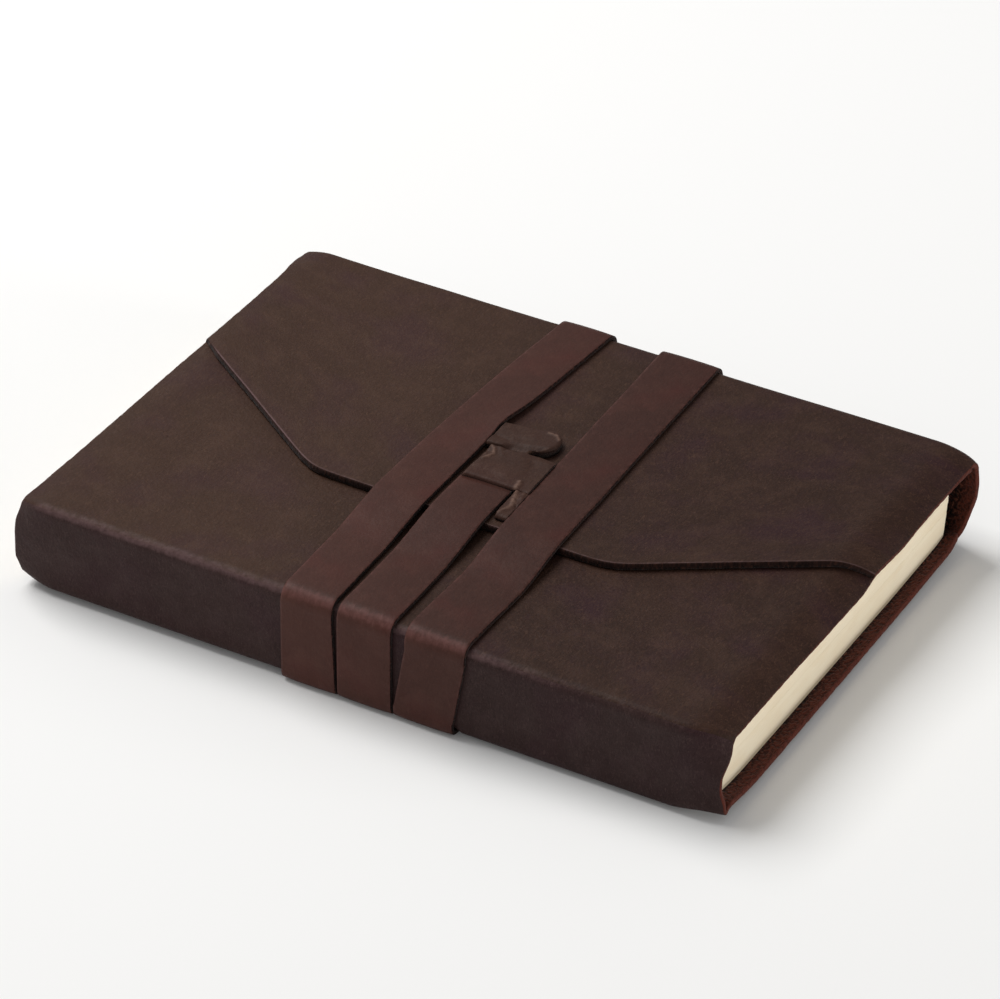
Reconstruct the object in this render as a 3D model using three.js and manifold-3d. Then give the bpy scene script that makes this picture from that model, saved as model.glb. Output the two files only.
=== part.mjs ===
// A5 journal in a soft leather wrap cover, closed and tied.
//
// One hide makes the back cover, the spine, the front cover, the fore-edge wall and the
// closing flap. A long leather strap starts at a knot on the flap, winds two and a half
// times round the closed book and ends in a tail tucked under it. Inside, ten sewn
// signatures, loose front leaves and endpapers make the page block.
//
// Units are millimetres. X runs along the spine, with the open end of the page block at
// +X. Y runs from the spine (-Y) to the fore-edge (+Y). Z is up from the table.

import * as THREE from 'three';
import { mergeVertices } from 'three/addons/utils/BufferGeometryUtils.js';
import Module from 'manifold-3d';

// Page block
const pageLength = 210;
const pageWidth = 142.5;
const signatureCount = 10;
const foldSlit = 0.2;
const endpaperThickness = 0.35;
const looseLeafGroups = 3;
const looseLeafThickness = 0.6;
const leafHingeOffset = 3;
const signatureSpacing = 0.15;
const sewingStations = 5;
const sewingEndMargin = 20;
const threadThickness = 0.9;
const liningThickness = 0.5;
const liningInset = 4;

// Cover: how far it stands past the pages at each end and at the fore-edge
const coverOverhang = 4;
const foreEdgeRoom = 5.2;
const coverHeight = 26;
const hideThickness = 2;
const foldRadius = 3.5;
const coverEdgeClearance = 0.6;

// Flap: how far each stretch of its free edge lies from the fore-edge face
const flapReach = 102.5;
const flapLeftShoulder = 62.5;
const flapRightShoulder = 68;
const flapLeftKnee = 47;
const flapRightKnee = 49;
const flapKneeRounding = 6;

// Strap: width, thickness and where each run crosses the two long edges
const strapWidth = 18.4;
const strapThickness = 1.4;
const strapEdgeChamfer = 0.3;
const leftRunNear = -14.5;
const leftRunFar = -10.8;
const leftRunBow = -3.2;
const middleRunNear = 4.2;
const middleRunTop = 1.4;
const middleRunNeck = 15.4;
const rightRunNear = 24.8;
const rightRunBottom = 23.4;
const rightRunFar = 21.4;
const strapSlope = 9;
const backRunSlope = 7;
const tailReach = 38;
const tailPoint = 7;

// Knot on the flap, set back from the flap's free edge
const knotInset = 15.9;
const knotDepth = 17;
const knotHeight = 2.7;
const knotCrumple = 0.45;
const tabLength = 16.6;
const tabWidth = 11.6;
const tabThickness = 1.6;
const twistWidth = 3;
const twistLength = 12;
const twistHeight = 2;

// Clearances
const seatGap = 0.3;
const hingeGap = 0.3;

// Levels and faces that follow from the sizes above
const spineBuild = hideThickness + liningThickness + threadThickness + 3 * seatGap;
const coverLength = pageLength + 2 * coverOverhang;
const coverWidth = spineBuild + pageWidth + foreEdgeRoom + hideThickness;
const nearFace = -coverWidth / 2;
const farFace = coverWidth / 2;
const underside = 2 * (strapThickness + seatGap);
const coverTop = underside + coverHeight;
const flapTop = coverTop + seatGap + hideThickness;
const nearFoldCentre = nearFace + foldRadius;
const farFoldCentre = farFace - foldRadius;
const lowFoldCentre = underside + foldRadius;
const nearTopFoldCentre = coverTop - foldRadius;
const farTopFoldCentre = flapTop - foldRadius;
const strapOffset = seatGap + strapThickness / 2;
const strapTurn = foldRadius + strapOffset;
const tableLevel = strapThickness / 2;
const huggingLevel = underside - strapOffset;
const overCoverLevel = coverTop + strapOffset;
const overFlapLevel = flapTop + strapOffset;
const flapFreeEdge = farFace - flapReach;
const middleRunEnd = flapFreeEdge + knotInset;
const spineInside = nearFace + hideThickness;
const liningFace = spineInside + seatGap + liningThickness;
const blockSpine = nearFace + spineBuild;
const blockForeEdge = blockSpine + pageWidth;

const wasm = await Module();
wasm.setup();

// Finishes
const leather = { color: 0x43332e, roughness: 0.62, metalness: 0 };
const spineLeather = { color: 0x382c2b, roughness: 0.6, metalness: 0 };
const strapLeather = { color: 0x4c332f, roughness: 0.6, metalness: 0 };
const knotLeather = { color: 0x564640, roughness: 0.62, metalness: 0 };
const paper = { color: 0xdfd0b4, roughness: 0.9, metalness: 0 };
const endpaper = { color: 0xd5c6a8, roughness: 0.9, metalness: 0 };
const thread = { color: 0xe6dcc4, roughness: 0.8, metalness: 0 };
const mull = { color: 0xcbbf9f, roughness: 0.95, metalness: 0 };

const book = new THREE.Group();

function addPiece(name, geometry, finish) {
  const mesh = new THREE.Mesh(geometry, new THREE.MeshStandardMaterial(finish));
  mesh.name = name;
  book.add(mesh);
  return mesh;
}

// Closed geometry to solid and back, for the one place that needs a cut
function toSolid(geometry) {
  const bare = geometry.clone();
  bare.deleteAttribute('normal');
  bare.deleteAttribute('uv');
  const merged = mergeVertices(bare, 1e-4);
  return new wasm.Manifold(new wasm.Mesh({
    numProp: 3,
    vertProperties: new Float32Array(merged.attributes.position.array),
    triVerts: new Uint32Array(merged.index.array),
  }));
}

function toGeometry(solid) {
  const mesh = solid.getMesh();
  const geometry = new THREE.BufferGeometry();
  geometry.setAttribute('position', new THREE.BufferAttribute(mesh.vertProperties, 3));
  geometry.setIndex(new THREE.BufferAttribute(mesh.triVerts, 1));
  return geometry;
}

// A section drawn in Y and Z, run along X over the given length
function alongX(section, length, curveSegments = 6) {
  const geometry = new THREE.ExtrudeGeometry(section, {
    depth: length, steps: 1, bevelEnabled: false, curveSegments,
  });
  geometry.translate(0, 0, -length / 2);
  geometry.applyMatrix4(new THREE.Matrix4().makeBasis(
    new THREE.Vector3(0, 1, 0), new THREE.Vector3(0, 0, 1), new THREE.Vector3(1, 0, 0),
  ));
  return geometry;
}

// A flat sheet: a rectangle in X and Y with a thickness, lowest face at bottom
function sheet(length, yLow, yHigh, bottom, thickness) {
  const geometry = new THREE.BoxGeometry(length, yHigh - yLow, thickness);
  geometry.translate(0, (yLow + yHigh) / 2, bottom + thickness / 2);
  return geometry;
}

// Back cover: flat, then up round the fold at the foot of the fore-edge wall
function backCover() {
  const section = new THREE.Shape();
  section.moveTo(nearFoldCentre, underside);
  section.lineTo(farFoldCentre, underside);
  section.absarc(farFoldCentre, lowFoldCentre, foldRadius, -Math.PI / 2, 0, false);
  section.lineTo(farFace - hideThickness, lowFoldCentre);
  section.absarc(farFoldCentre, lowFoldCentre, foldRadius - hideThickness, 0, -Math.PI / 2, true);
  section.lineTo(nearFoldCentre, underside + hideThickness);
  section.closePath();
  return alongX(section, coverLength);
}

// Spine: the lower fold and the wall above it
function spinePanel() {
  const inner = foldRadius - hideThickness;
  const section = new THREE.Shape();
  section.moveTo(nearFoldCentre, underside);
  section.lineTo(nearFoldCentre, underside + hideThickness);
  section.absarc(nearFoldCentre, lowFoldCentre, inner, -Math.PI / 2, -Math.PI, true);
  section.lineTo(spineInside, nearTopFoldCentre);
  section.lineTo(nearFace, nearTopFoldCentre);
  section.lineTo(nearFace, lowFoldCentre);
  section.absarc(nearFoldCentre, lowFoldCentre, foldRadius, Math.PI, 1.5 * Math.PI, false);
  return alongX(section, coverLength);
}

// Spine fold: the soft strip between the spine and the front cover, which rolls open
function spineFold() {
  const inner = foldRadius - hideThickness;
  const startAngle = (radius) => Math.PI - Math.asin(hingeGap / radius);
  const section = new THREE.Shape();
  section.absarc(
    nearFoldCentre, nearTopFoldCentre, foldRadius, startAngle(foldRadius), Math.PI / 2, true,
  );
  section.lineTo(nearFoldCentre, coverTop - hideThickness);
  section.absarc(
    nearFoldCentre, nearTopFoldCentre, inner, Math.PI / 2, startAngle(inner), false,
  );
  section.closePath();
  return alongX(section, coverLength);
}

// Front cover: a flat panel that starts at the spine fold
function frontCover() {
  const near = nearFoldCentre + hingeGap;
  const far = farFace - hideThickness - coverEdgeClearance;
  return sheet(coverLength, near, far, coverTop - hideThickness, hideThickness);
}

// Fore-edge wall: stands between the far folds
function foreEdgeWall() {
  const bottom = lowFoldCentre + hingeGap;
  const top = farTopFoldCentre - hingeGap;
  return sheet(coverLength, farFace - hideThickness, farFace, bottom, top - bottom);
}

// Outline with each corner rounded by the radius given beside it
function roundedOutline(corners) {
  const outline = new THREE.Shape();
  const count = corners.length;
  for (let i = 0; i < count; i += 1) {
    const [x, y, radius] = corners[i];
    const here = new THREE.Vector2(x, y);
    const before = new THREE.Vector2(...corners[(i + count - 1) % count]);
    const after = new THREE.Vector2(...corners[(i + 1) % count]);
    const start = here.clone().add(before.sub(here).setLength(radius));
    const end = here.clone().add(after.sub(here).setLength(radius));
    if (i === 0) {
      outline.moveTo(start.x, start.y);
    } else {
      outline.lineTo(start.x, start.y);
    }
    outline.quadraticCurveTo(x, y, end.x, end.y);
  }
  outline.closePath();
  return outline;
}

// Closing flap: over the far fold and across the front cover, cut to its slanted outline
function closingFlap() {
  const section = new THREE.Shape();
  section.moveTo(farFace, farTopFoldCentre);
  section.absarc(farFoldCentre, farTopFoldCentre, foldRadius, 0, Math.PI / 2, false);
  section.lineTo(flapFreeEdge, flapTop);
  section.lineTo(flapFreeEdge, flapTop - hideThickness);
  section.lineTo(farFoldCentre, flapTop - hideThickness);
  section.absarc(farFoldCentre, farTopFoldCentre, foldRadius - hideThickness, Math.PI / 2, 0, true);
  section.closePath();

  const beyond = farFace + hideThickness;
  const end = coverLength / 2;
  const cornerRounding = 1.5;
  const outline = roundedOutline([
    [-end, beyond, cornerRounding],
    [-end, farFace - flapLeftShoulder, cornerRounding],
    [-flapLeftKnee, flapFreeEdge, flapKneeRounding],
    [flapRightKnee, flapFreeEdge, flapKneeRounding],
    [end, farFace - flapRightShoulder, cornerRounding],
    [end, beyond, cornerRounding],
  ]);
  const cutter = new THREE.ExtrudeGeometry(outline, {
    depth: flapTop + foldRadius, steps: 1, bevelEnabled: false, curveSegments: 6,
  });
  const slab = toSolid(alongX(section, coverLength));
  return toGeometry(slab.intersect(toSolid(cutter)));
}

// A strap run. Each station has a centre, the direction across the strap, the direction
// off its face and a width. The section is a rectangle with chamfered edges.
function strapSolid(stations) {
  const half = strapThickness / 2;
  const cut = strapEdgeChamfer;
  const positions = [];
  const faces = [];
  for (const { centre, across, off, width } of stations) {
    const wide = width / 2;
    const corners = [
      [-wide, -half + cut], [-wide + cut, -half], [wide - cut, -half], [wide, -half + cut],
      [wide, half - cut], [wide - cut, half], [-wide + cut, half], [-wide, half - cut],
    ];
    for (const [a, b] of corners) {
      const point = centre.clone().addScaledVector(across, a).addScaledVector(off, b);
      positions.push(point.x, point.y, point.z);
    }
  }
  const ring = 8;
  const last = (stations.length - 1) * ring;
  for (let s = 0; s + 1 < stations.length; s += 1) {
    for (let i = 0; i < ring; i += 1) {
      const a = s * ring + i;
      const b = s * ring + ((i + 1) % ring);
      faces.push(a, b, b + ring, a, b + ring, a + ring);
    }
  }
  for (let i = 1; i + 1 < ring; i += 1) {
    faces.push(0, i + 1, i);
    faces.push(last, last + i, last + i + 1);
  }
  const geometry = new THREE.BufferGeometry();
  geometry.setAttribute('position', new THREE.Float32BufferAttribute(positions, 3));
  geometry.setIndex(faces);
  return geometry;
}

// Stations from a path of points in Y and Z with the face direction, walked so that
// across is +X. sideways gives the centre's X, and spread the width, at each point.
function stationsAlong(path, sideways, spread = () => strapWidth) {
  return path.map(([y, z, offY, offZ], i) => ({
    centre: new THREE.Vector3(sideways(y, i, path.length), y, z),
    across: new THREE.Vector3(1, 0, 0),
    off: new THREE.Vector3(0, offY, offZ),
    width: spread(y, i, path.length),
  }));
}

// Points round a fold, from one angle to the other, at the strap's turning radius
function turn(centreY, centreZ, fromDegrees, toDegrees, steps = 5) {
  const points = [];
  for (let i = 0; i <= steps; i += 1) {
    const angle = THREE.MathUtils.degToRad(fromDegrees + (toDegrees - fromDegrees) * i / steps);
    const offY = Math.cos(angle);
    const offZ = Math.sin(angle);
    points.push([centreY + strapTurn * offY, centreZ + strapTurn * offZ, offY, offZ]);
  }
  return points;
}

// Points across the top from the far side to the near side. The strap steps down where
// the flap under it ends.
function acrossTop(fromY, toY, steps) {
  const points = [];
  const stepTop = flapFreeEdge - seatGap;
  const stepFoot = stepTop - strapSlope;
  for (let i = 0; i <= steps; i += 1) {
    const y = fromY + (toY - fromY) * i / steps;
    const down = THREE.MathUtils.smoothstep(-y, -stepTop, -stepFoot);
    points.push([y, THREE.MathUtils.lerp(overFlapLevel, overCoverLevel, down), 0, 1]);
  }
  return points;
}

// Where a run's centre lies in X at each Y. A bow pushes the middle of the run aside.
function runCentre(near, far, bow) {
  return (y) => {
    const t = THREE.MathUtils.clamp((y - nearFace) / coverWidth, 0, 1);
    return THREE.MathUtils.lerp(near, far, t) + bow * Math.sin(Math.PI * t);
  };
}

const leftRunCentre = runCentre(leftRunNear, leftRunFar, leftRunBow);
const rightRunCentre = runCentre(rightRunNear, rightRunFar, 0);

// Front runs: over the far fold, across the flap and the cover, round the near fold
function frontRun(centre) {
  const path = [
    ...turn(farFoldCentre, farTopFoldCentre, 0, 90),
    ...acrossTop(farFoldCentre - 2, nearFoldCentre + 2, 24),
    ...turn(nearFoldCentre, nearTopFoldCentre, 90, 180),
  ];
  return strapSolid(stationsAlong(path, centre));
}

// The middle run is gathered to a neck as it comes up to the knot
const gather = (y) => THREE.MathUtils.smoothstep(y, nearFoldCentre, middleRunEnd);
const middleRunCentre = (y) => THREE.MathUtils.lerp(middleRunNear, middleRunTop, gather(y));
const middleRunSpread = (y) => THREE.MathUtils.lerp(strapWidth, middleRunNeck, gather(y));

// Middle run: from the knot down round the near fold
function middleFrontRun() {
  const path = [
    ...acrossTop(middleRunEnd, nearFoldCentre + 2, 14),
    ...turn(nearFoldCentre, nearTopFoldCentre, 90, 180),
  ];
  return strapSolid(stationsAlong(path, middleRunCentre, middleRunSpread));
}

// Spine runs: down the spine and round its lower fold
function spineRun(top, bottom) {
  const upper = nearTopFoldCentre - hingeGap;
  const outside = nearFace - strapOffset;
  const path = [
    [outside, upper, -1, 0],
    [outside, (upper + lowFoldCentre) / 2, -1, 0],
    ...turn(nearFoldCentre, lowFoldCentre, 180, 270),
  ];
  const sideways = (y, i, count) => THREE.MathUtils.lerp(top, bottom, Math.min(1, i / (count - 6)));
  return strapSolid(stationsAlong(path, sideways));
}

// Runs under the book, walked from the spine to the fore-edge. The inner one lies
// against the cover. The outer one passes below it and lies on the table.
function backRun(near, far, lowLevel) {
  const start = nearFoldCentre + seatGap;
  const first = start + backRunSlope;
  const last = farFoldCentre - backRunSlope;
  const steps = 14;
  const path = [[start, huggingLevel, 0, -1]];
  for (let i = 0; i <= steps; i += 1) {
    path.push([THREE.MathUtils.lerp(first, last, i / steps), lowLevel, 0, -1]);
  }
  path.push(...turn(farFoldCentre, lowFoldCentre, 270, 360));
  const sideways = (y) => {
    const t = THREE.MathUtils.smoothstep(y, start, farFoldCentre);
    return THREE.MathUtils.lerp(near, far, t);
  };
  return strapSolid(stationsAlong(path, sideways));
}

// Tail: the strap's free end, tucked under the book, with a pointed tip
function strapTail() {
  const start = nearFoldCentre + seatGap;
  const end = start + tailReach;
  const tipWidth = strapWidth / 3;
  const path = [
    [start, huggingLevel, 0, -1],
    [start + strapSlope, tableLevel, 0, -1],
    [end - tailPoint, tableLevel, 0, -1],
    [end, tableLevel, 0, -1],
  ];
  const spread = (y, i, count) => (i === count - 1 ? tipWidth : strapWidth);
  return strapSolid(stationsAlong(path, () => leftRunNear, spread));
}

// Wall runs: up the fore-edge wall between the two far folds
function wallRun(x) {
  const outside = farFace + strapOffset;
  const path = [
    [outside, lowFoldCentre + hingeGap, 1, 0],
    [outside, farTopFoldCentre - hingeGap, 1, 0],
  ];
  return strapSolid(stationsAlong(path, () => x));
}

// A soft lump of gathered leather: flat below, its top a formula of u and v in 0..1
function gatheredLump(xLow, xHigh, yLow, yHigh, bottom, topHeight, columns, rows) {
  const positions = [];
  const faces = [];
  const across = columns + 1;
  const layer = across * (rows + 1);
  for (const side of [0, 1]) {
    for (let j = 0; j <= rows; j += 1) {
      for (let i = 0; i <= columns; i += 1) {
        const u = i / columns;
        const v = j / rows;
        const rise = side * topHeight(u, v);
        positions.push(xLow + (xHigh - xLow) * u, yLow + (yHigh - yLow) * v, bottom + rise);
      }
    }
  }
  const quad = (a, b, c, d) => faces.push(a, b, c, a, c, d);
  for (let j = 0; j < rows; j += 1) {
    for (let i = 0; i < columns; i += 1) {
      const a = j * across + i;
      quad(a, a + across, a + across + 1, a + 1);
      quad(layer + a, layer + a + 1, layer + a + across + 1, layer + a + across);
    }
  }
  for (let i = 0; i < columns; i += 1) {
    const back = rows * across + i;
    quad(i, i + 1, layer + i + 1, layer + i);
    quad(back + 1, back, layer + back, layer + back + 1);
  }
  for (let j = 0; j < rows; j += 1) {
    const a = j * across;
    const b = a + columns;
    quad(a + across, a, layer + a, layer + a + across);
    quad(b, b + across, layer + b + across, layer + b);
  }
  const geometry = new THREE.BufferGeometry();
  geometry.setAttribute('position', new THREE.Float32BufferAttribute(positions, 3));
  geometry.setIndex(faces);
  return geometry;
}

// Rounded shoulders of a lump: near 0 at its rim, 1 inside
function shoulder(u, v) {
  const rim = (t) => Math.sqrt(1 - (1 - THREE.MathUtils.smoothstep(Math.min(t, 1 - t), 0, 0.28)) ** 2);
  return 0.45 + 0.55 * rim(u) * rim(v);
}

// The knot lies on the flap, between the left and the right run
const knotNear = middleRunEnd + seatGap;
const tabNear = knotNear + knotDepth + seatGap;
const knotFar = tabNear + tabWidth;
const leftRunEdge = Math.max(leftRunCentre(knotNear), leftRunCentre(knotFar)) + strapWidth / 2;
const rightRunEdge = Math.min(rightRunCentre(knotNear), rightRunCentre(knotFar)) - strapWidth / 2;
const knotLeft = leftRunEdge + seatGap;
const knotRight = rightRunEdge - seatGap;
const knotFloor = flapTop + seatGap;

// Knot band: the strap gathered across itself, with slanting creases
function knotBand() {
  const height = (u, v) => {
    const creases = Math.sin(9 * u + 4 * v) * Math.cos(7 * v - 3 * u);
    return knotHeight * shoulder(u, v) + knotCrumple * creases * shoulder(u, v);
  };
  const far = knotNear + knotDepth;
  return gatheredLump(knotLeft, knotRight, knotNear, far, knotFloor, height, 16, 14);
}

// Knot tab: the short end that comes out of the knot, rounded at its tip
function knotTab() {
  const tip = tabWidth / 2;
  const tipCentre = knotLeft + tabLength - tip;
  const outline = new THREE.Shape();
  outline.moveTo(knotLeft, tabNear);
  outline.lineTo(tipCentre, tabNear);
  outline.absarc(tipCentre, tabNear + tip, tip, -Math.PI / 2, Math.PI / 2, false);
  outline.lineTo(knotLeft, tabNear + tabWidth);
  outline.closePath();
  const geometry = new THREE.ExtrudeGeometry(outline, {
    depth: tabThickness, steps: 1, bevelEnabled: false, curveSegments: 8,
  });
  geometry.translate(0, 0, knotFloor);
  return geometry;
}

// Knot twist: the small puckered end beside the middle run
function knotTwist() {
  const near = middleRunEnd - twistLength;
  const left = middleRunCentre(near) + middleRunSpread(near) / 2 + seatGap;
  const height = (u, v) => twistHeight * shoulder(u, v) * (1 + 0.15 * Math.sin(8 * v));
  return gatheredLump(left, left + twistWidth, near, middleRunEnd, knotFloor, height, 4, 8);
}

// Heights of the page block, from the back cover up
const blockFloor = underside + hideThickness;
const coverCeiling = coverTop - hideThickness;
const frontPastedown = coverCeiling - endpaperThickness;
const frontFlyleaf = frontPastedown - hingeGap - endpaperThickness;
const looseLeafPitch = looseLeafThickness + hingeGap;
const signatureFloor = blockFloor + 2 * endpaperThickness + signatureSpacing;
const signatureCeiling = frontFlyleaf - looseLeafGroups * looseLeafPitch;
const signaturePitch = (signatureCeiling - signatureFloor) / signatureCount;
const signatureHeight = signaturePitch - signatureSpacing;

// Signature: folded sheets, round at the spine and open at the fore-edge
function signature(index) {
  const bottom = signatureFloor + index * signaturePitch;
  const middle = bottom + signatureHeight / 2;
  const round = signatureHeight / 2;
  const slit = foldSlit / 2;
  const foldY = blockSpine + round;
  const section = new THREE.Shape();
  section.moveTo(foldY, bottom);
  section.lineTo(blockForeEdge, bottom);
  section.lineTo(blockForeEdge, middle - slit);
  section.lineTo(foldY, middle - slit);
  section.absarc(foldY, middle, slit, -Math.PI / 2, -1.5 * Math.PI, true);
  section.lineTo(blockForeEdge, middle + slit);
  section.lineTo(blockForeEdge, bottom + signatureHeight);
  section.lineTo(foldY, bottom + signatureHeight);
  section.absarc(foldY, middle, round, Math.PI / 2, 1.5 * Math.PI, false);
  return alongX(section, pageLength, 5);
}

// Loose leaves at the front, each group hinged near the spine
function looseLeaves(index) {
  const bottom = signatureCeiling + index * looseLeafPitch;
  const near = blockSpine + leafHingeOffset;
  return sheet(pageLength, near, blockForeEdge, bottom, looseLeafThickness);
}

// Sewing thread: a chain of link stitches up the spine, one link for each signature
function sewingThread(station) {
  const span = pageLength - 2 * sewingEndMargin;
  const x = span * (station / (sewingStations - 1) - 0.5);
  const thick = threadThickness / 2;
  const thin = thick * 0.6;
  const profile = [new THREE.Vector2(0, signatureFloor)];
  for (let i = 0; i < signatureCount; i += 1) {
    const bottom = signatureFloor + i * signaturePitch;
    profile.push(new THREE.Vector2(thin, bottom + 0.1 * signaturePitch));
    profile.push(new THREE.Vector2(thick, bottom + 0.5 * signaturePitch));
  }
  const top = signatureFloor + signatureCount * signaturePitch - signatureSpacing;
  profile.push(new THREE.Vector2(thin, top));
  profile.push(new THREE.Vector2(0, top));
  const geometry = new THREE.LatheGeometry(profile, 8);
  geometry.rotateX(Math.PI / 2);
  geometry.translate(x, liningFace + seatGap + thick, 0);
  return geometry;
}

// Spine lining: the cloth strip glued inside the spine
function spineLining() {
  const bottom = blockFloor + liningInset / 2;
  const height = coverCeiling - liningInset / 2 - bottom;
  return sheet(pageLength - 2 * liningInset, spineInside + seatGap, liningFace, bottom, height);
}

// The hide
addPiece('back_cover', backCover(), leather);
addPiece('spine_panel', spinePanel(), spineLeather);
addPiece('spine_fold', spineFold(), spineLeather);
addPiece('front_cover', frontCover(), leather);
addPiece('fore_edge_wall', foreEdgeWall(), leather);
addPiece('closing_flap', closingFlap(), leather);

// The page block
addPiece(
  'back_pastedown',
  sheet(pageLength, nearFoldCentre, blockForeEdge, blockFloor, endpaperThickness), endpaper,
);
addPiece(
  'back_flyleaf',
  sheet(pageLength, blockSpine, blockForeEdge, blockFloor + endpaperThickness, endpaperThickness),
  endpaper,
);
for (let i = 0; i < signatureCount; i += 1) {
  addPiece(`signature_${String(i + 1).padStart(2, '0')}`, signature(i), paper);
}
for (let i = 0; i < looseLeafGroups; i += 1) {
  addPiece(`loose_leaves_${i + 1}`, looseLeaves(i), paper);
}
addPiece(
  'front_flyleaf',
  sheet(pageLength, blockSpine + leafHingeOffset, blockForeEdge, frontFlyleaf, endpaperThickness),
  endpaper,
);
addPiece(
  'front_pastedown',
  sheet(pageLength, nearFoldCentre + 2, blockForeEdge, frontPastedown, endpaperThickness), endpaper,
);
for (let i = 0; i < sewingStations; i += 1) {
  addPiece(`sewing_thread_${i + 1}`, sewingThread(i), thread);
}
addPiece('spine_lining', spineLining(), mull);

// The strap, in the order that it is wound
addPiece('strap_front_middle', middleFrontRun(), strapLeather);
addPiece('strap_spine_middle', spineRun(middleRunNear, middleRunNear), strapLeather);
addPiece('strap_back_inner', backRun(middleRunNear, rightRunFar, huggingLevel), strapLeather);
addPiece('strap_wall_right', wallRun(rightRunFar), strapLeather);
addPiece('strap_front_right', frontRun(rightRunCentre), strapLeather);
addPiece('strap_spine_right', spineRun(rightRunNear, rightRunBottom), strapLeather);
addPiece('strap_back_outer', backRun(rightRunBottom, leftRunFar, tableLevel), strapLeather);
addPiece('strap_wall_left', wallRun(leftRunFar), strapLeather);
addPiece('strap_front_left', frontRun(leftRunCentre), strapLeather);
addPiece('strap_spine_left', spineRun(leftRunNear, leftRunNear), strapLeather);
addPiece('strap_tail', strapTail(), strapLeather);

// The knot
addPiece('knot_band', knotBand(), knotLeather);
addPiece('knot_tab', knotTab(), knotLeather);
addPiece('knot_twist', knotTwist(), knotLeather);

export default book;
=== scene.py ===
"""The looks of a wrapped leather journal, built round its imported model."""

import math

import bpy
import bmesh
import numpy as np
from mathutils import Matrix, Vector


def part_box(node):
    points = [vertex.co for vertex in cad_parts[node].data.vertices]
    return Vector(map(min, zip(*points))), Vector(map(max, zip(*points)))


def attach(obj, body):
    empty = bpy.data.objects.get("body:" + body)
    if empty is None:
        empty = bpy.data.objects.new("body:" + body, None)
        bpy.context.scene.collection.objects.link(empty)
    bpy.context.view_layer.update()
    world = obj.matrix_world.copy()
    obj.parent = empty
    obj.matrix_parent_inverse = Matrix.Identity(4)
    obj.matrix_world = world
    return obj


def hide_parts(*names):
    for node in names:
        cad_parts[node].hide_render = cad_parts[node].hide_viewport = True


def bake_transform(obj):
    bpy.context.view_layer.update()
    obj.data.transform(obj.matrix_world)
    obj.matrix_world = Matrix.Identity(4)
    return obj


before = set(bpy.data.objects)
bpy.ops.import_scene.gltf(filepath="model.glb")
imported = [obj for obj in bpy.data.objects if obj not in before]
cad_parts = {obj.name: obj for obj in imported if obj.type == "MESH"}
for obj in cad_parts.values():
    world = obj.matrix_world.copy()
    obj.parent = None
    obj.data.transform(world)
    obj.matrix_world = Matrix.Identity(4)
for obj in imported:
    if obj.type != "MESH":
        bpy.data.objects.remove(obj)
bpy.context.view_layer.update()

MM = 0.001

# Sizes read from the frame
END_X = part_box("back_cover")[1].x
NEAR_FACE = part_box("spine_panel")[0].y
FAR_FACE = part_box("fore_edge_wall")[1].y
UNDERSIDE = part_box("back_cover")[0].z
COVER_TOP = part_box("front_cover")[1].z
FLAP_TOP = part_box("closing_flap")[1].z
HIDE = COVER_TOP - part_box("front_cover")[0].z
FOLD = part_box("back_cover")[1].z - UNDERSIDE
COVER_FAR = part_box("front_cover")[1].y
FLAP_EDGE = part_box("closing_flap")[0].y
strap_low, strap_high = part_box("strap_wall_left")
STRAP_THICK = strap_high.y - strap_low.y
STRAP_WIDE = strap_high.x - strap_low.x
STRAP_OFF = strap_low.y - FAR_FACE + STRAP_THICK / 2

NEAR_Y = NEAR_FACE + FOLD
FAR_Y = FAR_FACE - FOLD
LOW_Z = UNDERSIDE + FOLD
NEAR_TOP_Z = COVER_TOP - FOLD
FAR_TOP_Z = FLAP_TOP - FOLD
MIDDLE_WALL_Z = (LOW_Z + FAR_TOP_Z) / 2

# Middles of the four folds, in Y and Z
NEAR_UPPER = (NEAR_Y, NEAR_TOP_Z)
NEAR_LOWER = (NEAR_Y, LOW_Z)
FAR_LOWER = (FAR_Y, LOW_Z)
FAR_UPPER = (FAR_Y, FAR_TOP_Z)
X_AXIS = np.array([1.0, 0, 0])


def centre_x(node):
    low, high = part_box(node)
    return (low.x + high.x) / 2


def smooth(t):
    t = np.clip(t, 0, 1)
    return t * t * (3 - 2 * t)


def ramp(value, start, end):
    return smooth((np.asarray(value, float) - start) / (end - start))


# Noise: smooth random values on a lattice, from -1 to 1, the same on every run
NOISE_VALUES = 4096
NOISE_SHIFT = 1000
HASH = np.array([73856093, 19349663, 83492791])


def make_noise(seed):
    table = np.random.RandomState(seed).rand(NOISE_VALUES) * 2 - 1

    def sample(points, size):
        p = np.asarray(points, float) / size + NOISE_SHIFT
        cell = np.floor(p).astype(np.int64)
        f = smooth(p - cell)
        total = np.zeros(p.shape[:-1])
        for corner in np.ndindex(2, 2, 2):
            key = (cell + corner) * HASH
            key = (key[..., 0] ^ key[..., 1] ^ key[..., 2]) % NOISE_VALUES
            share = np.where(corner, f, 1 - f)
            total += table[key] * (share[..., 0] * share[..., 1] * share[..., 2])
        return total

    return sample


# Materials. A noise is given as its scale per decimetre, detail, roughness and distortion, and
# a spread as the two values that it reads and the two that it turns them into. The sockets for
# colours of a mix node share their names with others, so their numbers are used.
MIX_FIRST = 6
MIX_SECOND = 7
MIX_RESULT = 2
GRIME = "150d0a"
FIBRE_DARK = "0f0604"
FIBRE_LIGHT = "7c4a38"
LEAF_LINE = "b59f7c"
# Painted shade at the foot of the page ends
PAGE_FOOT_SHADE = "8a745a"


def srgb(code):
    """A hex colour as linear red, green, blue and alpha."""
    channels = [int(code[i:i + 2], 16) / 255 for i in (0, 2, 4)]
    linear = [c / 12.92 if c <= 0.04045 else ((c + 0.055) / 1.055) ** 2.4 for c in channels]
    return (*linear, 1.0)


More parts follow.
